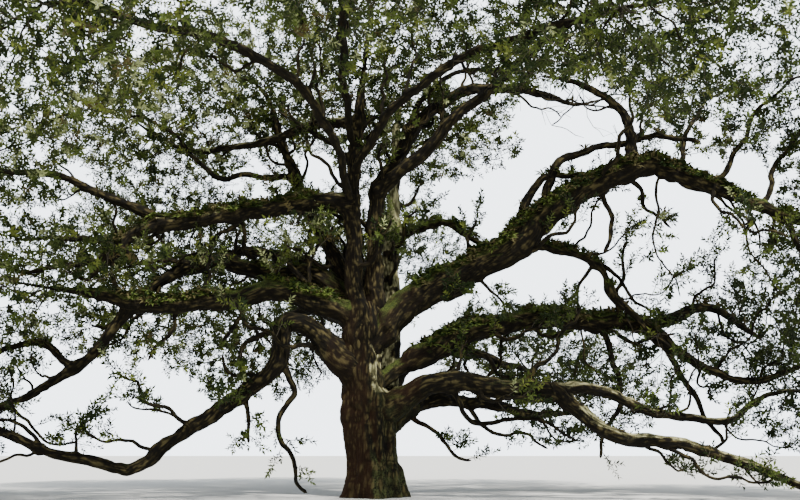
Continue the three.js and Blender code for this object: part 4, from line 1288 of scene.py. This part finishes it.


# How mossy each limb is on top, and how pale with lichen; the paleness of leader_back, of the low right
# boughs and of bough_left_lit is lichen and painted sunlight.
limbDress = {
    "trunk": (0.2, 0.1), "leader_centre": (0.3, 0.15), "leader_right": (0.4, 0.3), "leader_left": (0.2, 0.2),
    "leader_back": (0.1, 3.4), "bough_right_high": (1.0, 0.1), "bough_right_high_outer": (0.9, 0.35),
    "bough_right_mid": (0.85, 0.25), "bough_right_mid_outer": (0.55, 0.5), "bough_right_mid_fork": (0.3, 0.6),
    "bough_right_low": (0.4, 0.8), "bough_right_low_outer": (0.2, 1.5), "bough_right_low_upper": (0.25, 1.4),
    "limb_right_hanging": (0.9, 0.3), "limb_right_crest": (0.4, 0.6), "limb_right_top": (0.45, 0.35),
    "bough_left_fern": (1.0, 0.15), "bough_left_dark": (0.5, 0.15), "bough_left_lit": (0.75, 1.1),
    "limb_left_upper": (0.5, 0.6), "limb_top_left": (0.4, 1.5), "bough_left_low_crook": (0.4, 0.1),
    "bough_left_low_sweep": (0.35, 0.2), "bough_left_low_rise": (0.3, 0.4),
    "bough_left_dark_outer": (0.4, 0.2), "arch": (1.0, 0.3), "high_arch": (0.35, 0.25),
    "high_stub": (0.6, 0.6), "left_upper_crook": (0.2, 0.9),
}
otherLimbs, offshootDress, sideDress = (0.4, 0.3), (0.35, 0.3), (0.15, 0.5)
# The greatest radius of a limb's bark, where its solid is stouter.
slimmest = {"bough_right_high": 480, "bough_front_left": 130, "bough_front_right": 130, "bough_front": 120}
rooting = {"steps": 5, "stepLength": 0.5, "narrowing": 0.09, "inward": 0.12}  # steps are shares of the radius


# A limb that goes on from another's tip shares one unbroken skin with it.
def chainFrom(limb):
    chain = [limb]
    while True:
        onward = [other for other in limbs if other["parent"] == chain[-1]["name"] and other["at"] == 1]
        if not onward:
            return chain
        chain.append(onward[0])


# A limb's bark starts a little way down inside the trunk, so that its underside runs into the trunk's.
def rootDown(line, radii):
    start, ahead = line[0], unit(line[1] - line[0])
    points, sizes = [start], [radii[0]]
    for number in range(rooting["steps"]):
        share = (number + 1) / rooting["steps"]
        axis = trunkPoint(points[-1][2] / trunk["height"])
        inward = (axis - points[-1]) * rooting["inward"] / max(radii[0], 1)
        down = unit(-ahead * (1 - share) + np.array([0, 0, -1.0]) * (0.3 + share) + inward)
        points.append(points[-1] + down * rooting["stepLength"] * radii[0])
        sizes.append(sizes[0] * (1 - rooting["narrowing"] * (number + 1)))
    return np.vstack([points[:0:-1], line]), np.concatenate([sizes[:0:-1], radii])


massOn = {mass["bough"]: number for number, mass in enumerate(masses)}


# The line, radii and dress of one skin of bark: a run of limbs and the stem of its mass.
def addWood(chain, plainDress, seed, **more):
    name, tip = chain[0]["name"], chain[-1]["name"]
    line, radii, dress = [], [], []
    for limb in chain:
        part = lineOf[limb["name"]][1 if line else 0:]
        radius = limbRadius(limb, np.linspace(0, 1, len(part)))
        line.append(part)
        radii.append(np.minimum(radius, slimmest.get(limb["name"], np.inf)))
        dress.append(np.tile(limbDress.get(limb["name"], plainDress), (len(part), 1)))
    if tip in massOn:
        stemLine, stemRadii = grownMasses[massOn[tip]]["stem"]
        line.append(stemLine[1:])
        radii.append(np.minimum(stemRadii[1:], radii[-1][-1]))
        dress.append(np.tile(dress[-1][-1], (len(stemLine) - 1, 1)))
    smooth = len(line) > 1
    line, radii, dress = np.vstack(line), np.concatenate(radii), np.vstack(dress)
    if smooth:
        radii[2:-2] = np.convolve(radii, np.ones(5) / 5, "valid")
    if name in drawnIn:
        least, length = drawnIn[name]
        radii = radii * (least + (1 - least) * smoothStep(lengthsAlong(line), 0.3 * length, length))
    if chain[0]["parent"] == "trunk":
        line, radii = rootDown(line, radii)
        dress = np.vstack([np.tile(dress[0], (rooting["steps"], 1)), dress])
    wood[name] = {"line": line, "radii": radii, "seed": seed, "parent": chain[0]["parent"],
                  "dress": dress.T, **more}


# This bough is drawn in where it starts, so that the leader behind it shows in the fork.
drawnIn = {"bough_right_mid": [0.5, 1100]}
trunkShares = np.linspace(0, 1, 40)
barkSeeds = {"trunk": 11, "limbs": 400, "limbStep": 31, "slight": 2000, "crown": 5000, "step": 7}
wood = {"trunk": {"line": np.array([trunkPoint(share) for share in trunkShares]), "seed": barkSeeds["trunk"],
                  "radii": np.array([trunkRadius(share, np.linspace(0, 2 * math.pi, 24)).mean()
                                     for share in trunkShares])}}
chains = [chainFrom(limb) for limb in limbs if limb["at"] < 1]
for number, chain in enumerate(chains):
    addWood(chain, otherLimbs, barkSeeds["limbs"] + barkSeeds["limbStep"] * number)
skinOf = {limb["name"]: chain[0]["name"] for chain in chains for limb in chain}
slight = set()  # names of the wood that is too thin for knots
# How coarse the mesh of slight wood is, next to a limb's.
offshootMesh = {"fewestSides": 9, "coarse": 1.3, "twist": 0.8}
sideMesh = {"fewestSides": 7, "coarse": 2.1, "twist": 0.8}
twigMesh = {"fewestSides": 6, "coarse": 2.4, "twist": 0.8}
for number, limb in enumerate(offshoots + sides):
    slight.add(limb["name"])
    dress, make = (sideDress, sideMesh) if limb in sides else (offshootDress, offshootMesh)
    addWood([limb], dress, barkSeeds["slight"] + barkSeeds["step"] * number, **make)
    wood[limb["name"]]["parent"] = skinOf.get(limb["parent"], limb["parent"])

crownBranches = []
for own, grown in enumerate(grownMasses):
    for number, (line, radii) in enumerate(grown["stout"]):
        name = "%s_branch_%d" % (masses[own]["name"], number)
        crownBranches.append(name)
        wood[name] = {"line": line, "radii": radii, "parent": None,
                      "seed": barkSeeds["crown"] + barkSeeds["step"] * len(crownBranches),
                      "dress": np.tile(sideDress, (len(line), 1)).T, **twigMesh}
slight.update(crownBranches)


# The limbs whose bark meets this one's at a crotch.
def neighboursOf(name):
    item = wood[name]
    found = []
    for other, entry in wood.items():
        if other == name or other in slight:
            continue
        near = np.linalg.norm(item["line"][:, None] - entry["line"][None], axis=2).min()
        if near < 1.1 * (item["radii"][0] + entry["radii"][0]):
            found.append(other)
    return found


trunkLook = {
    "sides": 256,
    "rings": 200,
    "twist": -0.06,
    "crowding": 1.15,  # of the rings toward the foot
    "ribs": 7,
    "ribDepth": 0.045,
    "roots": 9,
    "rootDepth": 0.06,  # of the ribs that run out into the flare, as a share of the radius
    "rootHeight": 700,
    "steepSide": 0.2,  # how much less the foot flares on the right
    "knot": [90, -860, 3380, 190, 80],  # place, size and height
    "burl": [-800, -330, 5650, 330, 150],
    "fork": [2950, 3600, 4600, 5300],  # heights between which the right side draws in
    "forkTurn": -14,  # degrees
    "forkFacing": [0.1, 0.8],
    "paleFacing": [0, 0.5],
    "forkDepth": 0.56,
    "forkLichenAndSun": 2.7,  # the bark inside the fork is pale with lichen and painted sunlight
    "groove": [-85, 9, 120, 3500],  # where it faces and its half width in degrees, its depth and its top
    "grooveSway": [7, 520],  # degrees, and the length that it takes
    "knotHollow": [0.42, 1.5, 0.6],  # its width as a share of the knot's, its depth and how much painted shade darkens it
}


# The trunk's rings are level, so that its foot is a flat cut.
def trunkSkin():
    look = trunkLook
    shares = np.linspace(0, 1, look["rings"] + 1) ** look["crowding"]
    angle = np.tile(np.arange(look["sides"]) * 2 * math.pi / look["sides"], len(shares))
    share = np.repeat(shares, look["sides"])
    line = np.array([trunkPoint(value) for value in shares])
    outward = np.column_stack([np.cos(angle), np.sin(angle), np.zeros(len(angle))])
    radius = trunkRadius(share, angle)
    top = np.clip((1 - share) * trunk["height"] / trunk["crownRadius"], 0, 1)
    radius = radius * np.sqrt(np.clip(1 - (1 - top) ** 2, 0.02, 1))
    along = share * trunk["height"]
    flare = np.exp(-along / look["rootHeight"])
    wave = np.cos(look["ribs"] * (angle - 0.5 * share) + 2.5 * np.sin(2 * angle + 2 * share))
    root = np.cos(look["roots"] * angle + 1.5 * np.sin(3 * angle))
    steep = look["steepSide"] * flare * np.clip(np.cos(angle), 0, 1)
    radius = radius * (1 + look["ribDepth"] * wave + look["rootDepth"] * flare * root - steep)
    low, full, ease, high = look["fork"]
    drawn = smoothStep(along, low, full) * (1 - smoothStep(along, ease, high))
    towardFork = np.cos(angle - math.radians(look["forkTurn"]))
    facing = smoothStep(towardFork, *look["forkFacing"])
    radius = radius * (1 - look["forkDepth"] * drawn * facing)
    places = np.repeat(line, look["sides"], axis=0) + outward * radius[:, None]
    grown = np.zeros(len(places))
    for other in neighboursOf("trunk"):
        width = barkLook["filletShare"] * wood[other]["radii"][0]
        grown = np.maximum(grown, filletAt(places, other, width) * (1 - 0.8 * drawn * facing))
    girth = np.full(len(angle), float(trunk["girthRadius"]))
    move, height, place = barkRelief(angle, along, along / girth, girth, wood["trunk"]["seed"], look["twist"])
    hollows = placeNoise(np.column_stack([outward[:, :2] * 0.7, along / 1600]), 16)
    move -= 0.5 * trunk["girthRadius"] * (hollows - 0.5) * 0.2
    for x, y, z, size, out in (look["knot"], look["burl"]):
        away = np.linalg.norm(places - np.array([x, y, z]), axis=1) / size
        move += out * np.exp(-away ** 2 * 2)
    turn, width, depth, highest = look["groove"]
    sway, swayLength = look["grooveSway"]
    off = (np.degrees(angle) - turn - sway * np.sin(along / swayLength) + 180) % 360 - 180
    move -= depth * np.exp(-(off / width) ** 2) * (1 - smoothStep(along, 0.7 * highest, highest))
    x, y, z, size, out = look["knot"]
    narrow, deep, dark = look["knotHollow"]
    hollow = np.exp(-(np.linalg.norm(places - np.array([x, y, z]), axis=1) / (narrow * size)) ** 2)
    move -= deep * out * hollow
    # Painted shade darkens the knot's hollow.
    height = np.clip(height - dark * hollow, 0, 1)
    places = places + outward * (grown + move)[:, None]
    mossy, lichen = limbDress["trunk"]
    # Painted sunlight and lichen make the bark in the fork pale.
    inFork = drawn * smoothStep(towardFork, *look["paleFacing"])
    return closeTube(line, places, look["sides"], {
        "height": height, "barkPlace": place, "mossy": np.full(len(places), mossy),
        "lichen": lichen + look["forkLichenAndSun"] * inFork})


def readVertices(mesh, label):
    values = np.empty(len(mesh.vertices) * 3)
    mesh.vertices.foreach_get(label, values)
    return values.reshape(-1, 3)


def readNumbers(mesh, name):
    values = np.empty(len(mesh.vertices), np.float32)
    mesh.attributes[name].data.foreach_get("value", values)
    return values


# The masks are graded by where the bark faces and stands. A pair says where a grade starts and what it
# gains with the value. Lengths are in metres.
maskLook = {
    "patches": [(1.3, 0.55, 51), (5.5, 0.45, 52)],  # scale, share and seed
    "mossUpward": (0.22, 0.9),
    "mossInPatches": 0.9,
    "mossStart": 0.42,
    "mossEdge": 3,
    "leastMoss": (0, 6),  # of a limb's own share
    "lichenUpward": (0.35, 0.75),
    "lichenSpots": (0, 2),
    "lichenScale": 3.1,
    # painted shade under the limbs, by how far the bark faces down
    "undersideShadeUpward": (0.1, -1),
    "trunkReach": 1.7,  # from the trunk's middle, within which the ruddy and the algae lie
    "ruddyRightward": (0.35, -0.9),
    "ruddyByHeight": (1.3, -1),
    "ruddyTop": 7,
    "algaeRightward": (0.1, 1.1),
    "algaeInPatches": (-0.9, 3),
    "algaeByHeight": (1.15, -1),
    "algaeTop": 3.6,
}


def graded(value, start, gain):
    return np.clip(start + gain * value, 0, 1)


# Turns the limb's moss and lichen into masks, from where each point of the bark faces and stands; the lichen
# mask carries painted sunlight too, and the undersides get painted shade.
def dressBark(piece):
    mesh, look = piece.data, maskLook
    mossy, lichen = readNumbers(mesh, "mossy"), readNumbers(mesh, "lichen")
    for name in ("mossy", "lichen"):
        mesh.attributes.remove(mesh.attributes[name])
    points, normals = readVertices(mesh, "co"), readVertices(mesh, "normal")
    upward, rightward, height = normals[:, 2], normals[:, 0], points[:, 2]
    patches = sum(placeNoise(points * scale, seed) * share for scale, share, seed in look["patches"])
    moss = mossy * graded(upward, *look["mossUpward"]) + look["mossInPatches"] * (patches - 0.5)
    moss = np.clip(look["mossEdge"] * (moss - look["mossStart"]), 0, 1)
    spots = graded(placeNoise(points * look["lichenScale"], 53), *look["lichenSpots"])
    nearTrunk = np.linalg.norm(points[:, :2], axis=1) < look["trunkReach"]
    ruddy = graded(rightward, *look["ruddyRightward"])
    ruddy = ruddy * graded(height / look["ruddyTop"], *look["ruddyByHeight"])
    algae = graded(height / look["algaeTop"], *look["algaeByHeight"])
    algae = algae * graded(rightward, *look["algaeRightward"]) * graded(patches, *look["algaeInPatches"])
    masks = {
        "moss": moss * graded(mossy, *look["leastMoss"]),
        "lichen": lichen * graded(upward, *look["lichenUpward"]) * spots,
        # painted shade on the undersides
        "under": graded(upward, *look["undersideShadeUpward"]),
        "ruddy": np.where(nearTrunk, ruddy, 0),
        "algae": np.where(nearTrunk, algae, 0),
    }
    for name, values in masks.items():
        setNumbers(mesh, name, values)


def trianglesOf(piece):
    return len(piece.data.loops) - 2 * len(piece.data.polygons)


def barkPiece(name, skins, nodes):
    piece = skinPiece(name, skins, oakBark)
    dressBark(piece)
    return finishPiece(piece, nodes)


barkPieces = {"trunk": barkPiece("trunk_bark", [trunkSkin()], ["trunk"])}
for chain in chains:
    name = chain[0]["name"]
    barkPieces[name] = barkPiece(name + "_bark", [limbSkin(name, neighboursOf(name))],
                                 [limb["name"] for limb in chain])
print("limb bark made:", sum(map(trianglesOf, barkPieces.values())), "triangles")

for label, names in (("offshoots_bark", [limb["name"] for limb in offshoots]),
                     ("side_branches_bark", [limb["name"] for limb in sides]),
                     ("crown_branches_bark", crownBranches)):
    met = label == "offshoots_bark"  # only these are filleted to their parents
    skins = [limbSkin(name, [wood[name]["parent"]] if met else []) for name in names]
    barkPieces[label] = barkPiece(label, skins, [])
    print(label, "made:", trianglesOf(barkPieces[label]), "triangles")


fernLook = {
    "perSquareMetre": 125,
    "size": 1.6,
    "trunkGap": [1.1, 2.3],  # metres from the trunk within which the ferns thin out
    "onMoss": (-0.3, 1.4),
    "inClumps": (-0.9, 4),
    "clumpScale": 0.9,
    "fronds": 9,
    "frondLength": 0.17,
    "frondWidth": 0.036,
    "shapes": 3,
    "seed": 83,
}


# Tufts of small arching fronds, each frond a bent blade of two faces.
def makeFernShapes():
    look = fernLook
    random = seededRandom(look["seed"])
    shapes = bpy.data.collections.new("fernShapes")
    for shape in range(look["shapes"]):
        points, faces = [], []
        for number in range(look["fronds"]):
            turn = math.radians(360 / look["fronds"] * (number + random()))
            out = np.array([math.cos(turn), math.sin(turn), 0])
            wide = np.array([-math.sin(turn), math.cos(turn), 0])
            length, half = look["frondLength"] * (0.6 + 0.7 * random()), look["frondWidth"] / 2
            rise = 0.25 + 0.75 * random()
            first = len(points)
            for along, lift, width in ((0.04, 0, 0.4), (0.5, 0.62, 1), (1, 0.55, 0.12)):
                spine = out * length * along * (1.3 - 0.6 * rise) + np.array([0, 0, length * lift * rise])
                points += [spine - wide * half * width, spine + wide * half * width]
            faces += [[first, first + 2, first + 3, first + 1], [first + 2, first + 4, first + 5, first + 3]]
        addShape(shapes, "fern%d" % shape, points, faces)
    return shapes


# Stands fern tufts on the mossy tops of a bark mesh, thickest where the moss is.
def makeFernTree():
    tree, given = openTree("fernTufts", [
        ("Shapes", "Collection", None), ("Density", "Float", 20.0),
        ("Size", "Float", 1.0), ("Seed", "Int", 1)])
    spread = newNode(tree, "GeometryNodeDistributePointsOnFaces", {
        "Mesh": given["Geometry"], "Seed": given["Seed"],
        "Density": product(tree, namedNumber(tree, "fernShare"), given["Density"])})
    lean = newNode(tree, "ShaderNodeVectorMath", {0: spread.outputs["Normal"], 1: (0, 0, 0.8)},
                   operation="ADD")
    span = newNode(tree, "FunctionNodeRandomValue", {"Min": 0.6, "Max": 1.35, "Seed": given["Seed"]},
                   data_type="FLOAT")
    pick = newNode(tree, "FunctionNodeRandomValue", {"Min": 0, "Max": len(fernMaterials) - 1, "Seed": 7},
                   data_type="INT")
    tufts = storedNumber(tree, spread.outputs["Points"], "heading", lean.outputs["Vector"], "FLOAT_VECTOR")
    tufts = storedNumber(tree, tufts, "size", span.outputs[1])
    tufts = storedNumber(tree, tufts, "tint", pick.outputs[2])
    stand = newNode(tree, "GeometryNodeGroup", {
        "Geometry": tufts, "Shapes": given["Shapes"], "Size": given["Size"], "Seed": given["Seed"]},
        node_tree=fernStandTree)
    return closeTree(tree, stand.outputs["Geometry"])


# How thick the ferns stand at each point of a bark mesh.
def fernCarrier(mesh):
    points = readVertices(mesh, "co").astype(np.float32)
    clumps = graded(placeNoise(points * fernLook["clumpScale"], 61), *fernLook["inClumps"])
    away = smoothStep(np.linalg.norm(points[:, :2], axis=1), *fernLook["trunkGap"])
    return mesh, graded(readNumbers(mesh, "moss"), *fernLook["onMoss"]) * clumps * away


fernShapes = makeFernShapes()
fernStandTree = makeSprayTree("fernStand", fernMaterials)
fernTree = makeFernTree()
fernHosts = {
    "ferns_right": ["bough_right_high", "bough_right_mid", "limb_right_hanging", "offshoots_bark"],
    "ferns_left": ["bough_left_fern", "bough_left_lit", "bough_left_dark", "leader_right"],
}
for seed, (label, hosts) in enumerate(fernHosts.items()):
    carriers = [fernCarrier(barkPieces[host].data) for host in hosts]
    piece = runOnMeshes(label, carriers, "fernShare", fernTree, {
        "Shapes": fernShapes, "Density": fernLook["perSquareMetre"], "Size": fernLook["size"],
        "Seed": seed + 3})
    finishPiece(piece, [])
    print(label, "made:", trianglesOf(piece), "triangles")


# The fine twigs and sprays at the ends of the side branches.
def dressSide(limb, random):
    line = lineOf[limb["name"]]
    leafy = limb.get("leafy", 1)
    count = finer["sideTwigs"] * leafy
    bare, spread = finer["sideBare"][leafy > 1], finer["sideSpread"][leafy > 1]
    twigs, sprays = [], []
    for number in range(count):
        place = line[round((bare + (1 - bare) * (number + random()) / count) * (len(line) - 1) - 0.5)]
        along = unit(line[-1] - line[-4])
        away = unit(along + directionOf([360 * random(), 90 * random() - 20]) * spread)
        end = place + away * finer["sideTwigLength"] * (0.6 + 0.7 * random()) * leafy ** 0.4
        if end[2] < finer["lowestTwig"]:
            continue
        path = np.array(bentPath(place, end, random))
        twigs.append((path, np.linspace(1.6, 1, len(path)) * finer["endRadius"]))
        sprays += spraysAlong(path, random)
    return twigs, sprays


sideRandom = seededRandom(finer["sideSeed"])
sideTwigs, sideSprays = [], []
for limb in sides + [limb for limb in offshoots if limb["radius"][1] < finer["leafyBelow"]]:
    found = dressSide(limb, sideRandom)
    sideTwigs += found[0]
    sideSprays += found[1]

groups = {
    "top": ["crown_top", "top_left", "left_top"],
    "top_right": ["right_top", "right_shoulder", "right_crest"],
    "right": ["right_end", "right_hanging", "right_middle", "right_fork"],
    "right_low": ["right_low", "right_ground", "back_low", "back_right"],
    "left": ["left_shoulder", "left_end", "left_drooping"],
    "left_low": ["left_fern", "left_dark", "left_ground"],
    "back": ["back", "back_left", "back_top", "left_back"],
    "front": ["front_left", "front_right", "front"],
}
tinting = {
    "seed": 515,
    "limits": (0.27, 0.58, 0.84, 0.93),  # the draws below which each of the first four tints is taken
    "pale": 0.8,  # share of the rest that is pale with painted sunlight and not bronze
    # Sprays paler high up and toward the left are painted sunlight.
    "byHeight": 0.3,
    "byPatch": 0.4,
    "patch": 2300,
    "rightward": 0.1,
}


# Which tint a spray takes: paler high up and toward the left as painted sunlight, and by patches.
def tintOf(place, random):
    height, patch = place[2] / highCorner[2], placeNoise(place[None] / tinting["patch"], 77)[0]
    draw = random() + tinting["byHeight"] * (height - 0.5) + tinting["byPatch"] * (patch - 0.5)
    draw -= tinting["rightward"] * np.clip(place[0] / 9000, -1, 1)
    for number, limit in enumerate(tinting["limits"]):
        if draw < limit:
            return number
    return 4 if random() < tinting["pale"] else 5


def twigCarrier(twigs):
    points, edges, sizes = [], [], []
    for line, radii in twigs:
        first = sum(map(len, points))
        points.append(line)
        sizes.append(radii)
        edges.append(np.column_stack([np.arange(len(line) - 1), np.arange(1, len(line))]) + first)
    return np.vstack(points), np.vstack(edges), np.concatenate(sizes) * mm


def makeFoliage(name, twigs, sprays, nodes, seed):
    random = seededRandom(tinting["seed"] + seed)
    sprays = [spray for spray in sprays if not isOpen(spray[0])]
    points, edges, sizes = twigCarrier(twigs)
    piece = runOnPoints("twigs_" + name, points, edges, {"size": sizes}, twigTree,
                        {"Sides": 3, "Thickness": 1.0, "Bark": twigBark})
    finishPiece(piece, nodes)
    points = np.array([spray[0] for spray in sprays])
    numbers = {"heading": np.array([spray[1] for spray in sprays]), "size": [spray[2] for spray in sprays],
               "tint": [tintOf(spray[0], random) for spray in sprays]}
    leaves = runOnPoints("leaves_" + name, points, [], numbers, leafTree,
                         {"Shapes": leafShapes, "Size": 1.0, "Seed": seed})
    finishPiece(leaves, nodes)
    numbers["tint"] = np.zeros(len(sprays))
    sprigs = runOnPoints("sprigs_" + name, points, [], numbers, sprigTree,
                         {"Shapes": sprigShapes, "Size": 1.0, "Seed": seed})
    finishPiece(sprigs, [])
    counts.update({made.name: trianglesOf(made) for made in (piece, leaves, sprigs)})


leafShapes, sprigShapes = makeLeafShapes()
leafTree = makeSprayTree("leafSprays", leafMaterials)
sprigTree = makeSprayTree("sprigStems", sprigMaterials)
twigTree = makeTwigTree()
counts = {}
massIndex = {mass["name"]: number for number, mass in enumerate(masses)}
for seed, (name, members) in enumerate(groups.items()):
    nodes = ["foliage_" + member for member in members]
    twigs = [twig for node in nodes for twig in grownMasses[massIndex[node]]["thin"]]
    sprays = [spray for node in nodes for spray in grownMasses[massIndex[node]]["sprays"]]
    makeFoliage(name, twigs, sprays, nodes, seed)
makeFoliage("branches", sideTwigs, sideSprays, [], len(groups))
print("foliage made:", counts, "in all", sum(counts.values()))


stageLook = {
    "floorSize": 400,
    "floorColour": (0.62, 0.62, 0.6),
    "skyColour": (0.86, 0.93, 1.0),
    "skyStrength": 1.25,  # of its light
    "backdropStrength": 4.5,  # as the camera sees it
    "sunStrength": 9,
    "sunColour": (1, 0.96, 0.88),
    "sunAngle": 4,
    "sunTurn": [34, 0, 32],
    "tilt": 12.68,
    "lens": 40,
}


def makeStage():
    look = stageLook
    scene = bpy.context.scene
    half = look["floorSize"] / 2
    mesh = bpy.data.meshes.new("floor")
    corners = [(-half, -half, 0), (half, -half, 0), (half, half, 0), (-half, half, 0)]
    mesh.from_pydata(corners, [], [[0, 1, 2, 3]])
    material, _, shader = startMaterial("paleFloor", 0.9)
    shader.inputs["Base Color"].default_value = (*look["floorColour"], 1)
    mesh.materials.append(material)
    world = bpy.data.worlds.new("studio")
    scene.world = world
    world.use_nodes = True
    tree = world.node_tree
    light, backdrop = [newNode(tree, "ShaderNodeBackground", {
        "Color": (*look["skyColour"], 1), "Strength": look[name]}).outputs[0]
        for name in ("skyStrength", "backdropStrength")]
    seen = newNode(tree, "ShaderNodeLightPath").outputs["Is Camera Ray"]
    sky = newNode(tree, "ShaderNodeMixShader", {0: seen, 1: light, 2: backdrop})
    tree.links.new(sky.outputs[0], tree.nodes["World Output"].inputs["Surface"])
    sun = bpy.data.lights.new("key", "SUN")
    sun.energy = look["sunStrength"]
    sun.angle = math.radians(look["sunAngle"])
    sun.color = look["sunColour"]
    lens = bpy.data.cameras.new("camera")
    lens.lens = look["lens"]
    lens.sensor_width = 36
    floor, key, camera = [bpy.data.objects.new(item.name, item) for item in (mesh, sun, lens)]
    for item in (floor, key, camera):
        scene.collection.objects.link(item)
    key.rotation_euler = [math.radians(value) for value in look["sunTurn"]]
    camera.location = eye
    camera.rotation_euler = (math.radians(90 + look["tilt"]), 0, 0)
    scene.camera = camera


makeStage()
